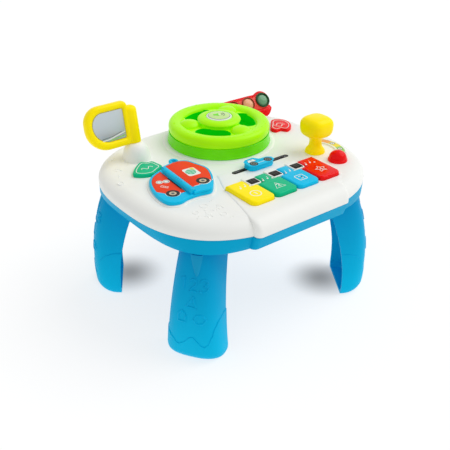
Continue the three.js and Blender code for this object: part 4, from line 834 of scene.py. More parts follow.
def ring_at(outline, z):
    """A flat outline as a ring of points at a height."""
    return [(x, y, z) for x, y in outline]


def tube(bm, path, radius, closed=False, steps=8):
    """A round rod along a path of points."""
    rings = []
    count = len(path)
    side = Vector((0, 0, 1))
    for i, point in enumerate(path):
        before = path[i - 1] if closed or i else point
        after = path[(i + 1) % count] if closed or i < count - 1 else point
        along = (Vector(after) - Vector(before)).normalized()
        across = along.cross(side)
        if across.length < 1e-4:
            across = along.cross(Vector((1, 0, 0)))
        across.normalize()
        up = across.cross(along)
        rings.append([Vector(point) + radius * (math.cos(math.tau * k / steps) * across
                                               + math.sin(math.tau * k / steps) * up) for k in range(steps)])
    return skin(bm, rings, caps=not closed, closed=closed)


# The play top's outline: its reach to the left, to the right and to the front and back, and how
# square it is in front and at the back right.
RIM_LEFT = 185
RIM_RIGHT = 192
RIM_HALF_Y = 165
RIM_POWER = 2.65
RIM_BACK_POWER = 3.2

# Heights of the table, and how far the play top's edge is rounded.
BOTTOM = 165
PARTING = 186
PARTING_GAP = 0.3
WALL_TOP = 191
TOP = 207
EDGE = 21


def rim(inset, steps=160):
    """The play top's outline: wider to the right and squarer at the back right."""
    left = oval(RIM_LEFT - inset, RIM_HALF_Y - inset, RIM_POWER, steps)
    right = oval(RIM_RIGHT - inset, RIM_HALF_Y - inset, RIM_POWER, steps)
    back = oval(RIM_RIGHT - inset, RIM_HALF_Y - inset, RIM_BACK_POWER, steps)
    return [left[i] if left[i][0] < 0 else (back[i] if left[i][1] > 0 else right[i]) for i in range(steps)]


DIGITS = {
    "1": [(-0.25, 0.3), (0.05, 0.5), (0.05, -0.5)],
    "2": arc(0, 0.2, 0.28, 0.3, 160, -30, 8) + [(-0.28, -0.5), (0.32, -0.5)],
    "3": arc(-0.02, 0.24, 0.27, 0.26, 150, -80, 7) + arc(-0.02, -0.22, 0.31, 0.28, 80, -150, 8),
    "4": [(0.12, -0.5), (0.12, 0.5), (-0.32, -0.18), (0.34, -0.18)],
}


# The console: its height, its reaches, its corners and the course of the crease beside it.
CONSOLE_TOP = 208.2
CONSOLE_LEFT = -88
CONSOLE_RIGHT = 81
CONSOLE_FAR = 104
CONSOLE_FRONT = -166
CONSOLE_BACK = -24
CONSOLE_CORNER = 9
CONSOLE_SOFT = 4
CONSOLE_SIDE = [(0, 0), (0.04, 0.17), (0.14, 0.36), (0.2, 0.53), (0.3, 0.76), (0.5, 1)]
CREASE_NEIGHBOURS = (-14, -7, 0, 7, 14)


def side_x(y):
    """Where the crease beside the console runs at a place along the table's width."""
    depth = CONSOLE_BACK - CONSOLE_FRONT
    knots = [(CONSOLE_LEFT * (1 - across), CONSOLE_FRONT + along * depth) for across, along in CONSOLE_SIDE]
    for (x0, y0), (x1, y1) in zip(knots, knots[1:]):
        if y <= y1:
            share = max(0, (y - y0) / (y1 - y0))
            return x0 + (x1 - x0) * share
    return knots[-1][0]


def console_ring(inset, front, z):
    """The console's outline at one height: its front edge straight, its left side the crease."""
    back = CONSOLE_BACK - inset
    corner = CONSOLE_CORNER
    side = []
    ys = [back + (front + corner - back) * i / 22 for i in range(23)]
    ys += [front + corner * (1 - math.sin(math.radians(90 * i / 8))) for i in range(1, 9)]
    for y in ys:
        x = sum(side_x(y + near) for near in CREASE_NEIGHBOURS) / len(CREASE_NEIGHBOURS)
        over = max(0.0, min(1.0, (front + corner - y) / corner))
        side.append((x + inset + corner * (1 - math.sqrt(1 - over ** 2)), y))
    right = []
    for i in range(6, 0, -1):
        a = math.radians(90 * i / 6)
        right.append((CONSOLE_RIGHT - inset - corner * (1 - math.cos(a)), front + corner * (1 - math.sin(a))))
    right += [(CONSOLE_RIGHT - inset, max(front + corner, CONSOLE_FRONT + EDGE / 2)),
              (CONSOLE_FAR - inset, max(front, CONSOLE_FRONT + EDGE * 2)), (CONSOLE_FAR - inset, back)]
    return ring_at(side + right, z)


# The raised shapes on the play top: x, y and reach of the rings, x and y of the stars, and
# x, y and turn of the waves.
DOODLE_RINGS = [(-112, -84, 5), (-131, -92, 4), (-104, -116, 4.5), (-165, 36, 4)]
DOODLE_STARS = [(-97, -98), (-122, -108), (-147, 74)]
DOODLE_WAVES = [(-95, -78, 20), (-118, -96, 70), (-108, -101, -30), (-135, -104, 40), (-98, -128, 10),
                (-156, 56, 60), (-134, 108, 30), (-128, 92, -40)]
STAR_REACH = 6
STAR_WAIST = 0.45
WAVE_RISE = 1.4
DOODLE_SINK = 0.25


def doodles(z):
    """Faint raised shapes on the play top: rings, stars and waves."""
    shapes = [(disc(x, y, reach, 20), True) for x, y, reach in DOODLE_RINGS]
    for x, y in DOODLE_STARS:
        outline = star(x, y, STAR_REACH, STAR_REACH * STAR_WAIST)
        shapes.append((dense(outline, True, 3, (1, 1)), True))
    wave = [(k - 4, WAVE_RISE * math.sin(k * 1.2)) for k in range(9)]
    shapes += [(moved(wave, x, y, turn), False) for x, y, turn in DOODLE_WAVES]
    return [rod("doodle", ring_at(path, z - DOODLE_SINK), size("doodle_radius"), "white", closed)
            for path, closed in shapes]


# The steering wheel's middle and radius.
WHEEL_X = 34
WHEEL_Y = 73
WHEEL_R = 77.5
WHEEL_PLACE = Matrix.Translation((WHEEL_X, WHEEL_Y, 0))

# The wheel's plinth, which stays within the rim drawn in by two margins at two heights.
PLINTH_TOP = 208.6
PLINTH_PROFILE = [(0, 195), (87.1, 195), (87.1, 205.4), (86.6, 206.8), (85.5, 207.8), (84, 208.5),
                  (82, PLINTH_TOP), (0, PLINTH_TOP)]
PLINTH_MARGINS = [(2.6, 190), (10.5, 209)]
BOOK_MARGIN = 3

# The keys: left end, pitch, heights, depth, corners and the notches beside the inlays.
KEY_COUNT = 4
KEYS_LEFT = -63
KEY_PITCH = 40.5
KEY_GAP = 0.8
KEY_MARGIN = 0.6
KEY_BOTTOM = 198
KEY_TOP = 214
KEY_FRONT = -127
KEY_BACK = -66
KEY_CORNER = 8
NOTCH_Y = -86
NOTCH_X = 10.5
NOTCH_CORNER = 4
BLOCK_HALF = 9.7
BLOCK_FRONT = -85.2
BLOCK_BACK = -60
BLOCK_BOTTOM = 204.4
BLOCK_TOP = 213.2

# The car's slot, and a height above all that is cut.
SLOT_LEFT = -22
SLOT_RIGHT = 78
SLOT_Y = -34
SLOT_HALF = 2.2
CUT_TOP = 230

# The gear lever's dial: its middle, and the radii and angles of its raised seat.
DIAL_X = 124
DIAL_Y = -47
SEAT_OUTER = 49
SEAT_INNER = 30
SEAT_START = -46.4
SEAT_END = 42.4

# The mirror's pod: where it stands, and its heights below that place with their radii.
MIRROR_PLACE = Matrix.Translation((-103, 98, 230.6)) @ Matrix.Rotation(math.radians(-12), 4, "X")
POD_RINGS = [(-34, 21), (-22, 20.4), (-16, 19.6), (-11, 18.4), (-7, 16.8), (-4, 14.8), (-2, 12.9),
             (-0.6, 11.2), (0, 10.2)]


def slot_plan():
    """The car's slot, seen from above."""
    return rounded_rect(SLOT_LEFT, SLOT_RIGHT, SLOT_Y - SLOT_HALF, SLOT_Y + SLOT_HALF, SLOT_HALF - 0.01)


def sector(outer, inner, start, end, steps):
    """A flat piece of a ring about the dial's middle, between two angles."""
    far = arc(0, 0, outer, outer, start, end, steps)
    near = arc(0, 0, inner, inner, end, start, steps)
    return [(x + DIAL_X, y + DIAL_Y) for x, y in far + near]


class TABLE_OT_top(bpy.types.Operator):
    """Builds the white play top with its console, plinths and pods"""
    bl_idname = "table.top"
    bl_label = "Play top"

    def execute(self, context):
        low = PARTING + PARTING_GAP
        rings = [ring_at(rim(0), low)]
        steps = [console_ring(0, CONSOLE_FRONT, low)]
        for i, a in enumerate(quarter(12)):
            inset = EDGE * (1 - math.cos(a))
            soft = CONSOLE_SOFT * max(0, (i - 8) / 4) ** 2
            rings.append(ring_at(rim(inset), WALL_TOP + (TOP - WALL_TOP) * math.sin(a)))
            steps.append(console_ring(soft, CONSOLE_FRONT + inset,
                                      WALL_TOP + (CONSOLE_TOP - WALL_TOP) * math.sin(a)))
        top = skinned("Play top", rings, "white")
        console = skinned("Console", steps, "white")
        for solid in (top, console):
            holes = [layer("hole", key_plan(i, KEY_GAP), WALL_TOP, CUT_TOP, None) for i in range(KEY_COUNT)]
            holes.append(layer("slot", slot_plan(), WALL_TOP, CUT_TOP, None))
            carve(solid, holes)

        plinth = turned("Plinth", PLINTH_PROFILE, "white", steps=96, place=WHEEL_PLACE)
        bounds = skinned("bounds", [ring_at(rim(margin), z) for margin, z in PLINTH_MARGINS], None)
        carve(plinth, [bounds], "INTERSECT")

        book_plan = grown(book_outline(), BOOK_MARGIN)
        book = layer("Book plinth", book_plan, TOP - 3, PLINTH_TOP, "white", edge=1.0)
        seat_plan = sector(SEAT_OUTER, SEAT_INNER, SEAT_START, SEAT_END, 32)
        seat = layer("Dial seat", seat_plan, TOP - 5, TOP + 0.5, "white", edge=0.4, steps=2)
        pod = skinned("Mirror pod", [ring_at(disc(0, 0, radius, 48), z) for z, radius in POD_RINGS], "white",
                      place=MIRROR_PLACE)
        blocks = []
        for order in range(1, KEY_COUNT):
            x = KEYS_LEFT + KEY_PITCH * order
            plan = rounded_rect(x - BLOCK_HALF, x + BLOCK_HALF, BLOCK_FRONT, BLOCK_BACK, 3)
            blocks.append(layer("Key block", plan, BLOCK_BOTTOM, BLOCK_TOP, "white", edge=1.2, steps=3))
        parts = [top, console, plinth, book, seat, pod, *blocks, *doodles(TOP)]
        together("Play top shell", parts, "top_shell")
        return {"FINISHED"}


# The housing: its foot's outline, and how its walls draw in over their height.
FOOT_HALF_X = 174.3
FOOT_HALF_Y = 154.6
FOOT_POWER = 3.67
SKIRT = [(0, 1.5), (0.02, 0.6), (0.06, 0), (0.4, 0), (0.9, 0), (0.97, 0.2), (1, 0.7)]
FRONT_WALL = [(0, 1.2), (0.05, 0), (0.96, 0), (1, 0.7)]
FRONT_LOW_Y = -158.5
FRONT_BACK_Y = -120
FRONT_CORNERS = (8, 1, 1, 8)

# What is cut into the housing's floor, from a height below it.
CUT_LOW = 160
COVER_SEAT = rounded_rect(-30.8, 42.8, 32.6, 87.4, 4)
COVER_SEAT_TOP = 168.4
SWITCH_WINDOW = rounded_rect(61.7, 78.3, 56.7, 63.3, 0.5)
GRILLE_X = -70
GRILLE_Y = -30
GRILLE_RADIUS = 18.4
GRILLE_PITCH = 7
GRILLE_HALF = 1.3
WINDOW_TOP = 169
SCREWS = [(-152, 0), (152, 4), (-20, -145), (-20, 130)]
SCREW_WELL = [(0, CUT_LOW), (3.7, CUT_LOW), (3.7, 174), (0, 174)]


class TABLE_OT_housing(bpy.types.Operator):
    """Builds the blue lower housing with its windows, slots and screw wells"""
    bl_idname = "table.housing"
    bl_label = "Lower housing"

    def execute(self, context):
        foot = oval(FOOT_HALF_X, FOOT_HALF_Y, FOOT_POWER, 160)
        rings = []
        for share, inset in SKIRT:
            edge = [(x0 + (x1 - x0) * share, y0 + (y1 - y0) * share)
                    for (x0, y0), (x1, y1) in zip(foot, rim(0))]
            rings.append(ring_at(grown(edge, -inset), BOTTOM + share * (PARTING - BOTTOM)))
        body = skinned("Lower housing", rings, "blue", "lower_housing")
        rings = []
        for share, inset in FRONT_WALL:
            front = FRONT_LOW_Y + (CONSOLE_FRONT - FRONT_LOW_Y) * share + inset
            plan = rounded_rect(CONSOLE_LEFT + inset, CONSOLE_RIGHT - inset, front, FRONT_BACK_Y,
                                FRONT_CORNERS, 6)
            rings.append(ring_at(plan, BOTTOM + share * (PARTING - BOTTOM)))
        carve(body, [skinned("Housing front", rings, "blue")], "UNION")
        cutters = [layer("cover seat", COVER_SEAT, CUT_LOW, COVER_SEAT_TOP, None)]
        for i in range(5):
            across = GRILLE_PITCH * (i - 2)
            x = GRILLE_X + across
            half = math.sqrt(GRILLE_RADIUS ** 2 - across ** 2)
            plan = rounded_rect(x - GRILLE_HALF, x + GRILLE_HALF, GRILLE_Y - half, GRILLE_Y + half,
                                GRILLE_HALF - 0.01)
            cutters.append(layer("grille", plan, CUT_LOW, WINDOW_TOP, None))
        for x, y in SCREWS:
            place = Matrix.Translation((x, y, 0))
            cutters.append(turned("screw well", SCREW_WELL, None, steps=24, place=place))
        cutters.append(layer("switch window", SWITCH_WINDOW, CUT_LOW, WINDOW_TOP, None))
        carve(body, cutters)
        return {"FINISHED"}


# A leg: its height, half widths and depths at the foot and at the top, how far its top leans in,
# how far it bows out halfway, and how square its section is.
LEG_TOP = 164.7
LEG_FOOT_HALF = 42.5
LEG_TOP_HALF = 29.5
LEG_FOOT_DEPTH = 36.5
LEG_TOP_DEPTH = 54
LEG_LEAN = 36.5
LEG_BOW = 12
LEG_POWER = 2.8
LEG_STEPS = 48
LEG_RINGS = 32

# The foot's rounding, the boot, and the hollow, which opens the leg towards the table's middle.
FOOT_EDGE = 16
FOOT_SIDE_SHARE = 0.35
BOOT_HEIGHT = 70
BOOT_RINGS = 14
BOOT_SHARES = [(-1, 0.6), (-0.8, 0.56), (-0.63, 0.5), (-0.42, 0.4), (-0.19, 0.47), (-0.04, 0.6), (0.11, 0.65),
               (0.25, 0.57), (0.38, 0.46), (0.51, 0.41), (0.63, 0.46), (0.76, 0.63), (0.85, 0.82),
               (0.94, 0.94), (1, 1)]
SOLE = 3
CHANNEL = 6
HOLLOW_RINGS = 24

# Where the legs stand, and how they are turned outwards.
LEGS = [("front_left", -1, -1), ("front_right", 1, -1), ("back_left", -1, 1), ("back_right", 1, 1)]
LEG_X = 134.4
LEG_Y = 103.4
LEG_SPLAY = math.radians(33.3)

# Raised figures on the legs (figure, share across, height and size), raised loops as paths of
# shares and heights, and the taper near the top.
LEG_FIGURES = [("1", -0.3, 124, 16), ("2", 0.1, 123, 16), ("3", 0.52, 122, 17)]
LEG_LOOPS = [[(-0.12, 92), (0.26, 91), (0.14, 107)],
             [(-0.42, 68), (-0.14, 68), (-0.14, 79), (-0.28, 85), (-0.42, 79)],
             [(0.4 + x / LEG_SHARE, 74 + y) for x, y in disc(0, 0, 7.5, 6)]]
STROKE_SINK = 0.5
TAPER_BOTTOM = 136
TAPER_HEIGHT = 26
TAPER_LIFT = 1.9
TAPER_ROOT = 1.0


def leg_point(across, z, inset=0.0, chord=0.0, side_inset=None, out=None):
    """A point on a leg's bowed skin: across runs from -1 to 1 over its width."""
    share = z / LEG_TOP
    half_width = LEG_FOOT_HALF + (LEG_TOP_HALF - LEG_FOOT_HALF) * share
    depth = LEG_FOOT_DEPTH + (LEG_TOP_DEPTH - LEG_FOOT_DEPTH) * share
    out_shift = -LEG_LEAN * share + 4 * LEG_BOW * share * (1 - share)
    if out is None:
        out = max(0.0, 1 - abs(across) ** LEG_POWER) ** (1 / LEG_POWER)
    side_inset = inset if side_inset is None else side_inset
    return (out_shift + chord + out * (depth - inset - chord), across * (half_width - side_inset), z)


def leg_across(i):
    """How far across the leg the i-th point of a ring lies, from -1 to 1."""
    sine = math.sin(math.pi * (i / LEG_STEPS - 0.5))
    return math.copysign(abs(sine) ** (2 / LEG_POWER), sine)


def leg_ring(heights, inset, chord, side_inset=None):
    """A ring of a leg: flat towards the middle of the table and bowed outwards."""
    points = []
    for i in range(LEG_STEPS + 1):
        a = math.pi * (i / LEG_STEPS - 0.5)
        out = 0 if i in (0, LEG_STEPS) else math.cos(a) ** (2 / LEG_POWER)
        z = heights[i] if isinstance(heights, list) else heights
        points.append(leg_point(leg_across(i), z, inset, chord, side_inset, out))
    return points


def foot_rings(growth):
    """Rings of the foot's rounded edge: its sides are rounded less than its front."""
    rings = []
    for a in quarter(8):
        inset = FOOT_EDGE * (1 - math.sin(a))
        side = inset * FOOT_SIDE_SHARE
        rings.append(leg_ring(FOOT_EDGE * (1 - math.cos(a)), inset - growth, 0, side - growth))
    return rings


def boot_crest(side):
    """Height of the boot's wavy edge at each point of a leg ring."""
    knots = sorted((x * side, z * BOOT_HEIGHT) for x, z in BOOT_SHARES)
    heights = []
    for i in range(LEG_STEPS + 1):
        across = leg_across(i)
        for (x0, z0), (x1, z1) in zip(knots, knots[1:]):
            if across <= x1 + 1e-9:
                t = (across - x0) / (x1 - x0)
                heights.append(z0 + (z1 - z0) * t * t * (3 - 2 * t))
                break
    return heights


def boot_rings(side):
    """Rings of the boot: the leg's own section grown by a lip up to the wavy edge."""
    crest = boot_crest(side)
    rings = foot_rings(size("boot_lip"))
    for i in range(1, BOOT_RINGS + 1):
        heights = [FOOT_EDGE + (top - FOOT_EDGE) * i / BOOT_RINGS for top in crest]
        rings.append(leg_ring(heights, -size("boot_lip"), 0))
    rings.append(leg_ring([top + 0.5 for top in crest], -0.5, 0))
    rings.append(leg_ring([top + 0.7 for top in crest], 0.8, 0))
    return rings


def hollow_rings():
    """Rings of the room inside a leg, which draws in over the rounded foot."""
    wall = size("leg_wall")
    foot_inset = FOOT_EDGE * (1 - math.sqrt(1 - (1 - SOLE / FOOT_EDGE) ** 2))
    rings = [leg_ring(SOLE, wall + foot_inset, -CHANNEL)]
    for i in range(1, HOLLOW_RINGS + 1):
        rings.append(leg_ring(SOLE + (LEG_TOP - 2 * SOLE) * i / HOLLOW_RINGS, wall, -CHANNEL))
    return rings


def on_leg(path, lift):
    """Places of a path of across shares and heights on the leg's skin."""
    return [leg_point(across, z, -lift) for across, z in path]


def leg_figure(path, across, z, height):
    """A figure in units of its height, laid out on the leg about a place."""
    return [(across + x * height / LEG_SHARE, z + y * height) for x, y in path]


def taper_rings():
    """Rings of the flat raised taper below a leg's top: narrow at its foot, wide above."""
    rings = []
    for i in range(9):
        share = i / 8
        half = 0.05 + 0.24 * share ** 0.8
        z = TAPER_BOTTOM + TAPER_HEIGHT * share
        row = [0.22 - 0.1 * share + half * (k / 4 - 1) for k in range(9)]
        face = [leg_point(u, z, -TAPER_LIFT * (1 - (k / 4 - 1) ** 4)) for k, u in enumerate(row)]
        rings.append(face + [leg_point(u, z, TAPER_ROOT) for u in row[::-1]])
    return rings


class TABLE_OT_legs(bpy.types.Operator):
    """Builds the four hollow legs with their boots and raised shapes"""
    bl_idname = "table.legs"
    bl_label = "Legs"

    def execute(self, context):
        strokes = [(dense(leg_figure(DIGITS[figure], across, z, height)), False)
                   for figure, across, z, height in LEG_FIGURES]
        strokes += [(dense(path, True), True) for path in LEG_LOOPS]
        for name, side, way in LEGS:
            rings = foot_rings(0)
            for i in range(1, LEG_RINGS + 1):
                rings.append(leg_ring(FOOT_EDGE + (LEG_TOP - FOOT_EDGE) * i / LEG_RINGS, 0, 0))
            turn = math.atan2(way * math.sin(LEG_SPLAY), side * math.cos(LEG_SPLAY))
            place = Matrix.Translation((side * LEG_X, way * LEG_Y, 0)) @ Matrix.Rotation(turn, 4, "Z")
            # The legs take the look whose colour darkens upwards: painted shade under the table top.
            leg = skinned(f"Leg {name}", rings, "painted_shade_legs", place=place)
            carve(leg, [skinned("boot", boot_rings(-side), "painted_shade_legs", place=place)], "UNION")
            carve(leg, [skinned("hollow", hollow_rings(), None, place=place)])
            parts = [leg]
            for path, closed in strokes:
                raised = on_leg(path, -STROKE_SINK)
                parts.append(rod("stroke", raised, size("stroke_radius"), "painted_shade_legs", closed, place=place))
            # The taper's lighter blue is a painted highlight.
            parts.append(skinned("taper", taper_rings(), "painted_glint", place=place))
            together(f"Leg shape {name}", parts, f"leg_{name}")
        return {"FINISHED"}


# The wheel: how square its grip is, the height of the grip's middle, and the profiles of the web,
# the hub, the linings and the cup, as radii and heights.
GRIP_POWER = 2.6
GRIP_Z = 231.5
WEB_PROFILE = [(4.3, 224.3), (24, 224.3), (30, 228), (61, 228), (61, 236), (4.3, 236), (4.3, 224.3)]
HUB_PROFILE = [(4.3, 230), (29.5, 230), (30, 238.6), (31.5, 240.2), (32.8, 241.2), (33.2, 242.2),
               (32.6, 243.6), (30.6, 245.1), (28, 246.2), (24.6, 246.9), (20.8, 247), (20.8, 241.5),
               (4.3, 241.5), (4.3, 230)]
LINING_PROFILE = [(55.8, 223.5), (56.5, 223.5), (56.5, 234.5), (55.8, 234.5), (55.8, 223.5)]
CUP_PROFILE = [(13, 211.4), (74.5, 211.4), (74.5, 218.6), (75.4, 219.6), (76.6, 224.4), (77.1, 224.9),
               (77.6, 224.3), (78, 216), (78.3, 212.2), (79, 211.4), (79.3, 210.6), (79.1, 209.6),
               (78.4, 208.9), (13, 208.9), (13, 211.4)]
WELL_PROFILE = [(13.2, 211.2), (74.3, 211.2), (74.3, 217.5), (73.9, 217.5), (73.4, 211.8), (13.2, 211.8),
                (13.2, 211.2)]

# The three gaps of the web, the pads on its spokes and the grip's ridges.
GAP_OUTER = 57.5
GAP_INNER = 30.3
GAP_HALF = 18
GAP_START = 100
PAD_START = 37
PAD_MIDDLE = (47, 0, 235.8)
RIDGE_COUNT = 60
RIDGE_Z = 239.5
RIDGE_TILT = math.radians(32)

# The horn: its profile, its printed rings (outer and inner radius, colour, lift) and its sign.
HORN_PROFILE = [(0, 249.1), (10, 248.95), (16, 248.1), (19.2, 247), (20.1, 246.2), (20.5, 245.3),
                (20.5, 244.4), (18, 244.4), (18, 246.6), (0, 246.6)]
HORN_RINGS = [(19.4, 17.2, "chalk", 0.1), (17.2, 16.3, "fog", 0.14), (16.3, 0, "frost", 0.1)]
HORN_SIGN = [(-9, -2.2), (-5.4, -2.2), (-1, -5), (-1, 5), (-5.4, 2.2), (-9, 2.2)]
HORN_SIGN_Z = 249.05
HORN_SIGN_LIFT = 0.35
HORN_SIGN_TURN = math.radians(-25)


def turned_by(angle):
    """A turn about the upright axis, in degrees."""
    return Matrix.Rotation(math.radians(angle), 4, "Z")


def gap_plan(middle):
    """The plan of one gap of the web: a bent slot with round ends."""
    halfway = (GAP_OUTER + GAP_INNER) / 2
    end = (GAP_OUTER - GAP_INNER) / 2
    high = middle + GAP_HALF
    low = middle - GAP_HALF
    return (arc(0, 0, GAP_OUTER, GAP_OUTER, low, high, 20) + end_cap(halfway, high, end, high, 8)
            + arc(0, 0, GAP_INNER, GAP_INNER, high, low, 20) + end_cap(halfway, low, end, low + 180, 8))


def end_cap(middle_radius, angle, radius, start, steps):
    """The round end of a bent slot."""
    x = middle_radius * math.cos(math.radians(angle))
    y = middle_radius * math.sin(math.radians(angle))
    return arc(x, y, radius, radius, start, start + 180, steps)[1:-1]


def horn_height(radius):
    """Height of the horn's face at a distance from its middle."""
    for (r0, z0), (r1, z1) in zip(HORN_PROFILE, HORN_PROFILE[1:5]):
        if radius <= r1:
            return z0 + (z1 - z0) * (radius - r0) / (r1 - r0)
    return HORN_PROFILE[4][1]


class TABLE_OT_wheel(bpy.types.Operator):
    """Builds the steering wheel, the cup below it and the horn button"""
    bl_idname = "table.wheel"
    bl_label = "Steering wheel"

    def execute(self, context):
        self.wheel()
        cup = turned("Cup", CUP_PROFILE, "green", steps=128, place=WHEEL_PLACE)
        # The well is a green sheet on the cup's floor whose glow is painted light, lifting the shade in the
        # cup.
        well = turned("Well", WELL_PROFILE, "clover", steps=96, place=WHEEL_PLACE)
        together("Wheel cup", [cup, well], "wheel_base")
        turned("Horn", HORN_PROFILE, "pale", "horn_button", steps=72, place=WHEEL_PLACE)
        self.horn_prints()
        return {"FINISHED"}

    def wheel(self):
        """The wheel with its grip, web, hub, pads and ridges."""
        half = size("grip_width") / 2
        grip = oval(half, size("grip_height") / 2, GRIP_POWER, 44)
        section = [(x + WHEEL_R - half, y + GRIP_Z) for x, y in grip]
        parts = [turned("Rim", section + section[:1], "lime", steps=144, place=WHEEL_PLACE)]
        web = turned("Web", WEB_PROFILE, "lime", steps=96, place=WHEEL_PLACE)
        parts += [web, turned("Hub", HUB_PROFILE, "lime", steps=96, place=WHEEL_PLACE)]
        # The linings glow like the well: painted light in the shaded gaps of the web.
        parts.append(turned("Lining", LINING_PROFILE, "clover", steps=96, place=WHEEL_PLACE))
        gaps = []
        for spoke in range(3):
            plan = gap_plan(GAP_START + 120 * spoke)
            gaps.append(layer("gap", plan, 215, 260, None, place=WHEEL_PLACE))
            edge = band(bmesh.new(), grown(plan, 0.3), grown(plan, -0.3), 224.6, 236.05)
            parts.append(put("Lining", edge, "clover", place=WHEEL_PLACE))
        carve(web, gaps)
        pad = Matrix.Diagonal((size("pad_length") / 2, size("pad_width") / 2, size("pad_height") / 2, 1))
        for spoke in range(3):
            place = WHEEL_PLACE @ turned_by(PAD_START + 120 * spoke) @ Matrix.Translation(PAD_MIDDLE) @ pad
            parts.append(ball("Pad", "lime", 48, 24, place))
        for i in range(RIDGE_COUNT):
            reach = WHEEL_R - 5.4 - 1.4 * (i % 2)
            shape = Matrix.Diagonal((2.2 + 0.8 * (i % 3), 1.6, 0.9, 1))
            place = (WHEEL_PLACE @ turned_by(360 / RIDGE_COUNT * i) @ Matrix.Translation((reach, 0, RIDGE_Z))
                     @ Matrix.Rotation(RIDGE_TILT, 4, "Y") @ shape)
            parts.append(ball("Ridge", "lime", 12, 8, place))
        together("Steering wheel", parts, "steering_wheel")

    def horn_prints(self):
        """The printed rings and the horn sign on the horn's face."""
        prints = []
        for outer, inner, look, lift in HORN_RINGS:
            profile = [(outer, horn_height(outer) - 0.5), (outer, horn_height(outer) + lift),
                       (inner, horn_height(inner) + lift), (inner, horn_height(inner) - 0.5)]
            if inner:
                profile.append(profile[0])
            prints.append(turned("ring", profile, look, steps=48, place=WHEEL_PLACE))
        face = WHEEL_PLACE @ Matrix.Rotation(HORN_SIGN_TURN, 4, "Z")
        prints.append(decal(HORN_SIGN, HORN_SIGN_Z, "green", face, HORN_SIGN_LIFT))
        for radius in (4, 7.4):
            wave = arc(0.8, 0, radius, radius, -48, 48, 8)
            prints.append(line(wave, HORN_SIGN_Z, "fog", 0.9, place=face, lift=HORN_SIGN_LIFT))
        together("Horn prints", prints, body="horn")


def key_plan(order, growth):
    """Plan of one key: full width in front, notched beside each dark inlay at the back."""
    left = KEYS_LEFT + KEY_PITCH * order + KEY_MARGIN - growth
    right = left + KEY_PITCH - 2 * KEY_MARGIN + 2 * growth
    back = KEY_BACK + growth
    front = KEY_FRONT - growth
    notch = NOTCH_Y + growth
    corner = KEY_CORNER + growth
    inner = NOTCH_CORNER
    plan = arc(left + corner, front + corner, corner, corner, 180, 270, 10)
    plan += arc(right - corner, front + corner, corner, corner, -90, 0, 10)
    if order < KEY_COUNT - 1:
        plan += arc(right - inner, notch - inner, inner, inner, 0, 90, 6)
        plan += [(right - NOTCH_X, notch), (right - NOTCH_X, back)]
    else:
        plan += [(right, back)]
    if order > 0:
        plan += [(left + NOTCH_X, back), (left + NOTCH_X, notch)]
        plan += arc(left + inner, notch - inner, inner, inner, 90, 180, 6)
    else:
        plan += [(left, back)]
    return plan


# Each key's name, colour, place of its print and the shape around its number.
KEYS = [("yellow", "yellow", -43, -107, disc(0, 0, 7.6, 24)),
        ("teal", "teal", -3, -107, [(-8, -6.5), (8, -6.5), (0, 8)]),
        ("blue", "cyan", 38, -108, rounded_rect(-7, 7, -7, 7, 2, 4)),
        ("red", "red", 79.5, -105, star(0, 0, 9, 4.4))]
NUMBER_SIZE = 7
NOTE_HEADS = [(-8, 0), (1, 1.5), (7.5, -1)]
NOTE_STEMS = [(-6.6, 0), (2.4, 1.5)]
NOTE_Y = 22
INLAY_BOTTOM = 212.5
INLAY_TOP = 213.6


class TABLE_OT_keys(bpy.types.Operator):
    """Builds the four keys with their prints and the dark inlays between them"""
    bl_idname = "table.keys"
    bl_label = "Keys"

    def execute(self, context):
        for order, (name, look, x, y, shape) in enumerate(KEYS):
            layer(f"Key {name}", key_plan(order, 0), KEY_BOTTOM, KEY_TOP, look, f"key_{name}",
                  edge=size("key_edge"), steps=6)
            figure = moved(DIGITS[str(order + 1)], x, y, scale=NUMBER_SIZE)
            prints = [line(moved(shape, x, y), KEY_TOP, "chalk", 1.2, closed=True),
                      line(figure, KEY_TOP, "chalk", 1.3)]
            for dx, dy in NOTE_HEADS:
                prints.append(decal(disc(x + dx, y + NOTE_Y + dy, 1.4, 14), KEY_TOP, "chalk"))
            for dx, dy in NOTE_STEMS:
                foot = y + NOTE_Y + dy
                prints.append(line([(x + dx, foot), (x + dx + 1.2, foot + 6)], KEY_TOP, "chalk", 0.8))
            together(f"Key prints {name}", prints, body=frame["nodes"][f"key_{name}"]["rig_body"])
        for order in range(1, KEY_COUNT):
            x = KEYS_LEFT + KEY_PITCH * order
            layer(f"Inlay {order}", rounded_rect(x - 7, x + 7, -80.75, -71.25, 1, 3), INLAY_BOTTOM, INLAY_TOP,
                  "charcoal", f"black_key_{order}", edge=0.3, steps=2)
            marks = [line([(mark, -79.5), (mark, -72.5)], INLAY_TOP - 0.05, "rubber", 0.4)
                     for mark in (x - 2, x + 2)]
            edging = rounded_rect(x - 7.8, x + 7.8, -83.4, -69.4, 1.4, 4)
            marks.append(decal(edging, BLOCK_TOP, "charcoal"))
            together(f"Inlay prints {order}", marks, body="table")
        return {"FINISHED"}


# The slider car: its middle, its outline in shares of its length and width, its heights, and its
# prints: a window, and lines as their path, colour, width and lift.
CAR_X = 22
CAR_Y = -36.5
CAR_SHARES = [(-0.5, -0.32), (-0.5, 0.3), (-0.36, 0.5), (-0.06, 0.5), (0.08, 0.14), (0.4, 0.1), (0.5, -0.08),
              (0.5, -0.32), (0.36, -0.5), (-0.36, -0.5)]
CAR_BOTTOM = 208.5
CAR_TOP = 217
CAR_AXLES = (9, 35)
CAR_AXLE_Y = -41
CAR_WINDOW = [(4, -35), (18.5, -35), (17.5, -28), (7, -28)]
CAR_LINES = [([(11.5, -35), (12, -28)], "navy", 0.7, 0.18),
             ([(16, -42), (28, -42)], "chalk", 0.7, PRINT_LIFT),
             ([(22, -37.5), (40, -38.5)], "navy", 0.6, PRINT_LIFT)]
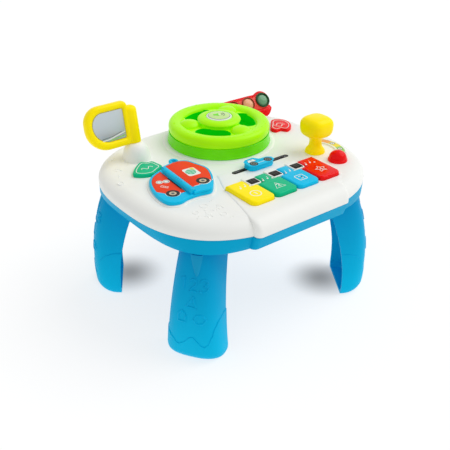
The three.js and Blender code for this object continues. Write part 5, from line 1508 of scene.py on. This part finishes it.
# The dark band around the car's slot, partly print and partly painted shade of the slot: its half width and
# its reach past the slot's ends.
SLOT_PRINT_AND_SHADE_HALF = 4
SLOT_PRINT_AND_SHADE_REACH = 2.5


class TABLE_OT_slider(bpy.types.Operator):
    """Builds the little car on the slider and the dark band around its slot, partly print and partly painted
    shade
    """
    bl_idname = "table.slider"
    bl_label = "Slider car"

    def execute(self, context):
        plan = [(CAR_X + x * size("car_length"), CAR_Y + y * size("car_width")) for x, y in CAR_SHARES]
        layer("Slider car", plan, CAR_BOTTOM, CAR_TOP, "cyan", "slider_car", edge=1.4)
        prints = []
        for x in CAR_AXLES:
            prints += [decal(disc(x, CAR_AXLE_Y, size("tyre_radius"), 28), CAR_TOP, "ink"),
                       ring_print(x, CAR_AXLE_Y, 4.4, 3, CAR_TOP, "fog", lift=0.2),
                       decal(disc(x, CAR_AXLE_Y, 1.4, 12), CAR_TOP, "fog", lift=0.2)]
        prints.append(decal(CAR_WINDOW, CAR_TOP, "chalk"))
        prints.append(line(CAR_WINDOW, CAR_TOP, "navy", 0.7, closed=True, lift=0.18))
        prints += [line(path, CAR_TOP, look, width, lift=lift) for path, look, width, lift in CAR_LINES]
        together("Slider car prints", prints, body=frame["nodes"]["slider_car"]["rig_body"])
        # A dark band around the slot: partly print, partly painted shade of the slot's depths.
        outer = rounded_rect(SLOT_LEFT - SLOT_PRINT_AND_SHADE_REACH, SLOT_RIGHT + SLOT_PRINT_AND_SHADE_REACH,
                             SLOT_Y - SLOT_PRINT_AND_SHADE_HALF, SLOT_Y + SLOT_PRINT_AND_SHADE_HALF, SLOT_PRINT_AND_SHADE_HALF - 0.1)
        edge = put("Slot print and painted shade", band(bmesh.new(), outer, slot_plan(), 207.6, 208.4), "charcoal")
        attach(edge, "table")
        return {"FINISHED"}


# The mirror in its own frame: outlines of the frame, how square the frame's section is, the post
# and the painted reflections on the glass as path, colour and width.
FRAME_OUTER = rounded_rect(-74.2, -5, -0.6, 64, (8, 8, 24, 33), 16)
FRAME_INNER = rounded_rect(-64, -13, 11, 54, (3, 3, 17, 25.5), 16)
FRAME_POWER = 2.6
FRAME_RINGS = 28
POST_FOOT = [(0, 0.3), (3.3, 0.3), (9, 0.3), (9.9, 0.8)]
POST_SHOULDER = 48
POST_CROWN = 7.5
GLASS_TOP = 4.3
PAINTED_REFLECTIONS = [([(-57, 13.6), (-40, 14.6), (-14.5, 20.5)], "chalk", 1.5),
           ([(-52, 16.5), (-36, 17.6), (-20, 21.6)], "fog", 0.9), ([(-40, 12.6), (-14.5, 15.5)], "mint", 1.6)]


def squared(value, power):
    """A sine or cosine drawn out so that a circle becomes squarer."""
    return math.copysign(abs(value) ** (2 / power), value)


class TABLE_OT_mirror(bpy.types.Operator):
    """Builds the swinging mirror"""
    bl_idname = "table.mirror"
    bl_label = "Mirror"

    def execute(self, context):
        rings = []
        for i in range(FRAME_RINGS):
            a = math.tau * i / FRAME_RINGS
            share = 0.5 - 0.5 * squared(math.cos(a), FRAME_POWER)
            depth = size("frame_depth") / 2 * squared(math.sin(a), FRAME_POWER)
            rings.append([(p[0] + (q[0] - p[0]) * share, -depth, p[1] + (q[1] - p[1]) * share)
                          for p, q in zip(FRAME_OUTER, FRAME_INNER)])
        border = skinned("Frame", rings, "yellow", closed=True, place=MIRROR_PLACE)
        radius = size("post_radius")
        profile = POST_FOOT + [(radius, 1.8), (radius, POST_SHOULDER)]
        profile += arc(0, POST_SHOULDER, radius, POST_CROWN, 6, 90, 10)
        post = turned("Post", profile, "yellow", steps=48, place=MIRROR_PLACE)
        flat = MIRROR_PLACE @ Matrix.Rotation(math.radians(90), 4, "X")
        back = layer("Back", grown(FRAME_INNER, 2), -7, 2.4, "yellow", edge=0.6, steps=2, place=flat)
        together("Mirror frame", [border, post, back], "mirror_frame")
        layer("Mirror glass", grown(FRAME_INNER, -0.3), 2.8, GLASS_TOP, "silver", "mirror_glass", edge=0.2,
              steps=2, place=flat)
        # Painted reflections on the glass: a white and a grey stripe of light and a green tint.
        painted_reflections = [line(path, GLASS_TOP, look, width, place=flat) for path, look, width in PAINTED_REFLECTIONS]
        together("Mirror streaks", painted_reflections, body="mirror")
        return {"FINISHED"}


# The gear lever: shares of its height and width with how square it is there; and the dial's
# fields (first and last angle, colour) and the angles of its marks.
LEVER_SHARES = [(0, 0.69, 2.2), (0.08, 0.64, 2.2), (0.18, 0.47, 2.2), (0.34, 0.42, 2.2), (0.44, 0.58, 2.5),
                (0.53, 0.9, 3), (0.66, 1, 3.2), (0.8, 1, 3.4), (0.9, 0.94, 3.2), (0.97, 0.76, 3),
                (1, 0.5, 2.6)]
LEVER_BOTTOM = 207.3
LEVER_STEPS = 6
DIAL_FIELDS = [(12, 38, "peach"), (-16, 12, "lemon"), (-42, -16, "mint")]
DIAL_MARKS = (4, -27)
DIAL_MARK_REACH = 40
DIAL_BOTTOM = 207.8
DIAL_TOP = 208.6


def eased(rows, t):
    """The values of a smooth curve between the middle two of four rows."""
    return [0.5 * (2 * b + (c - a) * t + (2 * a - 5 * b + 4 * c - d) * t * t
                   + (3 * b - a - 3 * c + d) * t ** 3) for a, b, c, d in zip(*rows)]


class TABLE_OT_gear(bpy.types.Operator):
    """Builds the gear lever and its coloured dial"""
    bl_idname = "table.gear"
    bl_label = "Gear lever"

    def execute(self, context):
        rings = []
        last = len(LEVER_SHARES) - 1
        for i in range(last):
            rows = [LEVER_SHARES[max(0, min(last, i + k))] for k in (-1, 0, 1, 2)]
            for step in range(LEVER_STEPS + (1 if i == last - 1 else 0)):
                up, across, power = eased(rows, step / LEVER_STEPS)
                half = size("lever_width") / 2 * min(1, across)
                outline = [(x + DIAL_X, y + DIAL_Y) for x, y in oval(half, half, power, 64)]
                rings.append(ring_at(outline, LEVER_BOTTOM + min(1, up) * size("lever_height")))
        skinned("Gear knob", rings, "yellow", "gear_knob")
        layer("Gear dial", sector(47, 32, -44, 40, 40), DIAL_BOTTOM, DIAL_TOP, "chalk", "gear_dial",
              edge=0.2, steps=2)
        prints = [decal(sector(45.5, 35, start, end, 12), DIAL_TOP, look, lift=0.08)
                  for start, end, look in DIAL_FIELDS]
        for angle in DIAL_MARKS:
            x = DIAL_X + DIAL_MARK_REACH * math.cos(math.radians(angle))
            y = DIAL_Y + DIAL_MARK_REACH * math.sin(math.radians(angle))
            prints += [decal(disc(x, y, 3.6, 24), DIAL_TOP, "chalk", lift=0.14),
                       ring_print(x, y, 4, 2.9, DIAL_TOP, "fog", lift=0.18),
                       decal(disc(x, y, 1.2, 12), DIAL_TOP, "fog", lift=0.18)]
        together("Dial prints", prints, body="table")
        return {"FINISHED"}


# The dome and the two small buttons: places, outlines in shares of their reach, and heights.
DOME_PLACE = Matrix.Translation((130, -89, 0))
DOME_FOOT = [(0, 203), (14.4, 203), (14.4, 209), (14.2, 210)]
DOME_SHOULDER = 211
GREEN_SHARES = [(-1.06, -0.17), (-0.34, 0.7), (0.2, 0.98), (0.46, 0.74), (0.76, 0.7), (0.88, 0.25),
                (0.9, -0.2), (0.42, -0.5), (-0.06, -0.74), (-0.66, -0.6)]
RED_SHARES = [(-0.88, -0.02), (-0.42, 0.5), (0.13, 1.04), (0.52, 0.98), (0.86, 0.56), (0.82, -0.04),
              (0.4, -0.6), (-0.12, -0.8), (-0.36, -0.46), (-0.8, -0.44)]
BUTTONS = [("green", "teal", GREEN_SHARES, -115, 46), ("red", "red", RED_SHARES, 143, 52)]
BUTTON_BOTTOM = 203
BUTTON_TOP = 212
BUTTON_LINE_REACH = 18.5


def button_plan(shares, x, y, reach):
    """The outline of a small button, or of the line on it."""
    return [(px + x, py + y) for px, py in spline([(a * reach, b * reach) for a, b in shares])]


class TABLE_OT_buttons(bpy.types.Operator):
    """Builds the dome and the two small press buttons"""
    bl_idname = "table.buttons"
    bl_label = "Press buttons"

    def execute(self, context):
        profile = DOME_FOOT + arc(0, DOME_SHOULDER, size("dome_radius"), size("dome_height"), 0, 90, 16)
        turned("Dome button", profile, "red", "dome_button", steps=72, place=DOME_PLACE)
        for name, look, shares, x, y in BUTTONS:
            outline = button_plan(shares, x, y, size("button_reach"))
            inner = button_plan(shares, x, y, BUTTON_LINE_REACH)
            layer(f"Press {name}", outline, BUTTON_BOTTOM, BUTTON_TOP, look, f"{name}_button",
                  edge=1.6, steps=5)
            if name == "green":
                waves = [[(x - 9 + 2 * k, y + 1 + 3 * math.sin(k * 1.1)) for k in range(10)]]
            else:
                waves = [[(x - 10 + 2 * k, y + 3 + up + 2.6 * math.sin(k * 0.9 + up)) for k in range(10)]
                         for up in (-5, 3)]
            prints = [line(inner, BUTTON_TOP, "chalk", 0.9, closed=True)]
            prints += [line(wave, BUTTON_TOP, "chalk", 1.1) for wave in waves]
            together(f"Press prints {name}", prints, body=frame["nodes"][f"{name}_button"]["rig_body"])
        return {"FINISHED"}


# The book: its outline in shares of its reach, its middle, its spine, and where its prints of
# wheels lie on the left page (-1) and on the leaf (1).
BOOK_SHARES = [(0.13, 0.9), (-0.17, 0.82), (-0.5, 0.66), (-0.74, 0.39), (-0.92, -0.05), (-1, -0.54),
               (-0.94, -0.88), (-0.68, -1), (-0.37, -0.93), (-0.01, -0.93), (0.33, -0.98), (0.58, -0.76),
               (0.88, -0.29), (1, 0.09), (0.92, 0.47), (0.8, 0.8), (0.5, 0.96)]
BOOK_REACH = 50.5
BOOK_X = -101.5
BOOK_Y = -14.5
SPINE_X = -107
SPINE_Y = -20
SPINE_TURN = -4.6
SPINE_PLACE = Matrix.Translation((SPINE_X, SPINE_Y, 215.8)) @ turned_by(SPINE_TURN)
TYRES = {-1: (-130.7, -40.2), 1: (-80.9, -39.9)}
TYRE_POCKET = 10.6
TYRE_SHEET = 10.3

# Heights of the tray, its pocket, its page, the leaf, its recess and its page.
TRAY_BOTTOM = 208.9
TRAY_TOP = 213.6
POCKET_BOTTOM = 210.8
PAGE_BOTTOM = 211.1
PAGE_TOP = 213.1
LEAF_BOTTOM = 213.7
LEAF_TOP = 217.1
RECESS_BOTTOM = 215.9
LEAF_PAGE_BOTTOM = 216.2
HINGE_RADIUS = 4.4
TAB_X = -77
TAB_Y = 36
TAB_PROFILE = [(3.4, 213.7), (6.4, 213.7), (7, 214.3), (7, 216.4), (6.4, 217.1), (4, 217.1), (3.4, 216.5),
               (3.4, 213.7)]

# Prints of the book: headlamps, the bumper, plain lines and the leaf's round emblem.
HEADLAMPS = [(-127.2, -2.6), (-118.2, -6)]
BUMPER = [(-133.5, -14.5), (-130.5, -12.5), (-124.5, -21.5), (-127.5, -23.5)]
PAGE_LINES = [[(-122.5, -47.2), (-112.5, -47)], [(-146.5, -26.5), (-140.5, -34)]]
LEAF_LINES = [[(-100, -46.6), (-91.5, -47)], [(-70.5, -46.4), (-62, -42)]]
SPINE_STRIP = [(-1.0, -16), (1.0, -16), (1.0, 21), (-1.0, 21)]
EMBLEM_X = -78.6
EMBLEM_Y = -8.5
EMBLEM_ACROSS = [(-4.5, 5.6), (-1.5, 7), (1.5, 7), (4.5, 5.6)]
EMBLEM_UP = [(-3, 6.6), (3, 6.6)]
EMBLEM_SPARK = [(-73.5, -2.5), (-69, -6.5), (-69.5, 1), (-74.5, 2)]


def book_outline():
    """The book's outline, seen from above."""
    knots = [(a * BOOK_REACH, b * BOOK_REACH) for a, b in BOOK_SHARES]
    return [(x + BOOK_X, y + BOOK_Y) for x, y in spline(knots, 6)]


def split(outline, side, gap):
    """The part of an outline to one side of the book's spine."""
    turn = math.radians(SPINE_TURN)
    x = math.cos(turn) * side
    y = math.sin(turn) * side
    return clipped(outline, x, y, gap + SPINE_X * x + SPINE_Y * y)


def page_outline(side, gap, inset):
    """A page's outline: its lower edge stands well back from the tray's rim."""
    outline = clipped(split(grown(book_outline(), -inset), side, gap), 0, 1, -61 + 11 + inset)
    return clipped(outline, 0.83, 0.56, -135.5 + inset - 3.4) if side < 0 else outline


def tyre_prints(side, z):
    """A printed wheel with its tyre, beige ring and hub, and the white line under it."""
    x, y = TYRES[side]
    return [decal(disc(x, y, 9.4, 36), z, "ink", lift=0.1), ring_print(x, y, 5, 2.9, z, "beige", lift=0.16),
            decal(disc(x, y, 2.9, 20), z, "fog", lift=0.14), decal(disc(x, y, 1.2, 12), z, "ink", lift=0.2),
            line(arc(x, y, 10.3, 10.3, 205, 345, 14), z, "chalk", 1.1)]


def hinge_part(name, low, high):
    """A round part of the book's hinge along its spine."""
    return rod(name, [(0, low, 0), (0, high, 0)], HINGE_RADIUS, "cyan", steps=32, place=SPINE_PLACE)


class TABLE_OT_book(bpy.types.Operator):
    """Builds the car-shaped book with its turning leaf and its prints"""
    bl_idname = "table.book"
    bl_label = "Book"

    def execute(self, context):
        outline = book_outline()
        tray = layer("Tray", outline, TRAY_BOTTOM, TRAY_TOP, "cyan", edge=1.6, steps=5)
        rooms = [page_outline(-1, 4.4, 3.4), disc(*TYRES[-1], TYRE_POCKET, 36),
                 split(grown(outline, -3.4), 1, 5)]
        carve(tray, [layer("pocket", room, POCKET_BOTTOM, 220, None) for room in rooms])
        knuckles = [hinge_part("Knuckle", low, low + 8) for low in (-38, 30)]
        together("Book tray", [tray, *knuckles], "book_tray")
        self.page("Book page", "book_page", -1, 4.7, 3.7, PAGE_BOTTOM, PAGE_TOP)
        self.page_prints()

        leaf = layer("Leaf plate", split(outline, 1, 0), LEAF_BOTTOM, LEAF_TOP, "cyan", edge=1.5, steps=5,
                     foot_edge=0.6)
        rooms = [page_outline(1, 5.9, 3), disc(*TYRES[1], TYRE_POCKET, 36)]
        carve(leaf, [layer("recess", room, RECESS_BOTTOM, CUT_TOP, None) for room in rooms])
        barrel = hinge_part("Barrel", -29.7, 29.7)
        tab = turned("Tab", TAB_PROFILE, "cyan", steps=40, place=Matrix.Translation((TAB_X, TAB_Y, 0)))
        together("Book leaf", [leaf, barrel, tab], "book_leaf")
        self.page("Leaf page piece", "leaf_page", 1, 6.2, 3.3, LEAF_PAGE_BOTTOM, LEAF_TOP)
        self.leaf_prints()
        spot = layer("Tab spot", disc(TAB_X, TAB_Y, 3.2, 24), 209, 213.2, "chalk", edge=0.3, steps=2)
        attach(spot, "table")
        return {"FINISHED"}

    def page(self, name, piece, side, gap, inset, bottom, top):
        """A printed sheet with the white round part under its wheel."""
        sheet = layer("Page", page_outline(side, gap, inset), bottom, top, "orange", edge=0.3, steps=2)
        wheel = layer("Wheel part", disc(*TYRES[side], TYRE_SHEET, 36), bottom, top - 0.02, "chalk", edge=0.3,
                      steps=2)
        together(name, [sheet, wheel], piece)

    def page_prints(self):
        """The prints on the left page: a wheel, two headlamps, a bumper and a few lines."""
        prints = tyre_prints(-1, PAGE_TOP)
        for x, y in HEADLAMPS:
            prints += [decal(disc(x, y, 4.8, 24), PAGE_TOP, "chalk"),
                       ring_print(x, y, 3.7, 2.9, PAGE_TOP, "fog", lift=0.16)]
        prints.append(line(BUMPER, PAGE_TOP, "chalk", 0.9, closed=True))
        for k in range(1, 4):
            bar = moved(BUMPER[:2], 1.5 * k + 0.8, -2.2 * k - 1)
            prints.append(line(bar, PAGE_TOP, "chalk", 0.6))
        prints += [line(path, PAGE_TOP, "chalk", 1.0) for path in PAGE_LINES]
        prints.append(decal(moved(SPINE_STRIP, -112.7, -20, SPINE_TURN), PAGE_TOP, "ink"))
        together("Left page prints", prints, body="table")

    def leaf_prints(self):
        """The prints on the leaf: a wheel, a round emblem, lines and marks along the spine."""
        prints = tyre_prints(1, LEAF_TOP)
        badge = moved(rounded_rect(-9.6, 9.6, -11.6, 11.6, 3.2, 5), -77.6, -8.7, SPINE_TURN)
        prints.append(decal(badge, LEAF_TOP, "chalk", lift=0.1))
        x = EMBLEM_X
        y = EMBLEM_Y
        prints.append(decal(disc(x, y, 7.6, 32), LEAF_TOP, "teal", lift=0.16))
        prints += [line([(x - half, y + up), (x + half, y + up)], LEAF_TOP, "chalk", 0.7, lift=0.2)
                   for up, half in EMBLEM_ACROSS]
        prints += [line([(x + dx, y - half), (x + dx, y + half)], LEAF_TOP, "chalk", 0.5, lift=0.2)
                   for dx, half in EMBLEM_UP]
        prints.append(decal(EMBLEM_SPARK, LEAF_TOP, "lemon", lift=0.22))
        prints += [line(path, LEAF_TOP, "chalk", 1.0) for path in LEAF_LINES]
        for k in range(4):
            mark = [(-1.6, -9 + 4.5 * k), (0.2, -7.5 + 4.5 * k), (-0.6, -10.5 + 4.5 * k)]
            prints.append(line(mark, 4.25, "navy", 0.9, place=SPINE_PLACE))
        together("Leaf prints", prints, body="leaf")


# The traffic light: where it stands, its sloping face and the row of lamps on it.
FACE_TILT = math.radians(50)
LIGHTS_PLACE = Matrix.Translation((133.5, 125, 228)) @ turned_by(-7)
FACE_PLACE = LIGHTS_PLACE @ Matrix.Rotation(FACE_TILT, 4, "X")
ROW_END = 29
ROW_PLACE = (FACE_PLACE @ Matrix.Translation((ROW_END, 0, 0)) @ turned_by(4)
             @ Matrix.Translation((-ROW_END, 0, 0)))

# Its housing: half the face's width, the back and the foot of its section, its ends, the round
# right end, the bounds of the rim and the room that the wheel needs.
FACE_HALF = 17.5
LIGHTS_BACK = 20
LIGHTS_FOOT = -37
LIGHTS_LEFT = -47
LIGHTS_RIGHT = 56
LEFT_EDGE = 4.5
ROUND_X = 28
ROUND_Y = 4
ROUND_Z = -10
ROUND_RADIUS = 16
RIM_MARGIN = 6
RIDGE_CUT = rounded_rect(-70, 70, 14.6, 60, 1)
WHEEL_ROOM = [(0, 180), (79.7, 180), (79.7, 262), (0, 262)]
HOOD_PROFILE = [(0, -13), (14.4, -13), (15.3, -11), (15.3, -1.4), (14.6, -0.3), (13.4, 0), (0, 0)]
FACE_PLATE = rounded_rect(-37, 37, -13.5, 9, 9, 10)

# Each lamp's place along the row, its name, the colours of its lens and ring, and the ring's radius.
LAMPS = [(-ROW_END, "red", "red", "brick", 11.6), (0, "amber", "amber", "brick", 11.6),
         (ROW_END, "green", "leaf", "bottle", 12.7)]


def wheel_room():
    """A solid of the room that the wheel needs."""
    return turned("room", WHEEL_ROOM, None, steps=96, place=WHEEL_PLACE)


def lights_rings():
    """Rings of the traffic light's housing from its left end to its round right end."""
    run = FACE_HALF * math.cos(FACE_TILT)
    rise = FACE_HALF * math.sin(FACE_TILT)
    profile = [(-run, LIGHTS_FOOT), (LIGHTS_BACK, LIGHTS_FOOT), (LIGHTS_BACK, 0)]
    for i in range(1, 13):
        t = i / 12
        profile.append(tuple((1 - t) ** 2 * a + 2 * t * (1 - t) * b + t * t * c
                             for a, b, c in zip((LIGHTS_BACK, 0), (LIGHTS_BACK, rise), (run, rise))))
    profile.append((-run, -rise))
    rings = []
    for a in quarter(6):
        inset = LEFT_EDGE * (1 - math.cos(math.pi / 2 - a))
        x = LIGHTS_LEFT + LEFT_EDGE * (1 - math.sin(a))
        rings.append([(x, y, z) for y, z in grown(profile, -inset)])
    for i in range(10):
        a = math.radians(9 * i)
        share = 1 - 0.25 * (1 - math.cos(a))
        reach = ROUND_RADIUS * math.cos(a)
        rings.append([(ROUND_X + ROUND_RADIUS * math.sin(a), ROUND_Y + (y - ROUND_Y) * share,
                       max(ROUND_Z - reach, min(ROUND_Z + reach, z))) for y, z in profile])
    return rings


class TABLE_OT_lights(bpy.types.Operator):
    """Builds the toy traffic light with its lenses, rings and hood"""
    bl_idname = "table.lights"
    bl_label = "Traffic light"

    def execute(self, context):
        body = skinned("Traffic housing", lights_rings(), "red", place=LIGHTS_PLACE)
        bounds = skinned("bounds", [ring_at(rim(-RIM_MARGIN), 190), ring_at(rim(-RIM_MARGIN), 270)], None)
        run = FACE_HALF * math.cos(FACE_TILT)
        plan = rounded_rect(LIGHTS_LEFT, LIGHTS_RIGHT, -run, LIGHTS_BACK, (24, 4.5, 4.5, 4.5))
        carve(body, [bounds, layer("plan", plan, -40, 35, None, place=LIGHTS_PLACE)], "INTERSECT")
        carve(body, [wheel_room(), layer("ridge cut", RIDGE_CUT, -60, 40, None, place=ROW_PLACE)])
        hood_place = ROW_PLACE @ Matrix.Translation((ROW_END, 1.8, 0))
        carve(body, [turned("hood", HOOD_PROFILE, "red", steps=48, place=hood_place)], "UNION")
        body.data.materials.clear()
        body.data.materials.append(palette("red"))
        stand_in(body, "traffic_housing")
        face = layer("Traffic face", FACE_PLATE, 0.3, 1.7, "salmon", "traffic_face", edge=0.4, steps=2,
                     place=ROW_PLACE)
        carve(face, [wheel_room()])
        radius = size("lens_radius")
        lens = [(0, -2.7), (radius, -2.7), (radius, 1.4)] + arc(0, 1.4, radius, 3.0, 8, 90, 10)
        rings = []
        for x, name, look, ring_look, wide in LAMPS:
            place = ROW_PLACE @ Matrix.Translation((x, 0, 0))
            turned(f"Lens {name}", lens, look, f"lens_{name}", steps=48, place=place)
            inner = radius + 0.1
            ring = [(inner, -2), (wide, -2), (wide, 3.2), (wide - 0.7, 4.2), (inner + 0.7, 4.2), (inner, 3.4),
                    (inner, -2)]
            rings.append(turned("ring", ring, ring_look, steps=48, place=place))
        carve(together("Lens rings", rings, body="table"), [wheel_room()])
        return {"FINISHED"}


class TABLE_PT_panel(bpy.types.Panel):
    """Buttons for every piece and the stage, with their sizes and colours below"""
    bl_idname = "TABLE_PT_panel"
    bl_label = "Toy activity table"
    bl_space_type = "VIEW_3D"
    bl_region_type = "UI"
    bl_category = "Table"

    def draw(self, context):
        for operator in OPERATORS:
            self.layout.operator(operator.bl_idname)
        for name, group in GROUPS.items():
            for key in group.__annotations__:
                self.layout.prop(getattr(context.scene, name), key)


OPERATORS = [TABLE_OT_carried, TABLE_OT_top, TABLE_OT_housing, TABLE_OT_legs, TABLE_OT_wheel,
             TABLE_OT_keys, TABLE_OT_slider, TABLE_OT_mirror, TABLE_OT_gear, TABLE_OT_buttons,
             TABLE_OT_book, TABLE_OT_lights, TABLE_OT_stage]
GROUPS = {"table_colours": TableColours, "table_sizes": TableSizes, "table_stage": StageSettings}


def register():
    """Adds the groups of settings, the operators and the panel to Blender."""
    for group in GROUPS.values():
        bpy.utils.register_class(group)
    for operator in (*OPERATORS, TABLE_PT_panel):
        bpy.utils.register_class(operator)
    for name, group in GROUPS.items():
        setattr(bpy.types.Scene, name, bpy.props.PointerProperty(type=group))


def unregister():
    """Takes everything away that register adds."""
    for name in GROUPS:
        delattr(bpy.types.Scene, name)
    for item in (TABLE_PT_panel, *reversed(OPERATORS), *reversed(GROUPS.values())):
        bpy.utils.unregister_class(item)


def main():
    """Builds every piece and the stage."""
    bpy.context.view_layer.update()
    register()
    for operator in OPERATORS:
        group, name = operator.bl_idname.split(".")
        getattr(getattr(bpy.ops, group), name)()


if __name__ == "__main__":
    main()
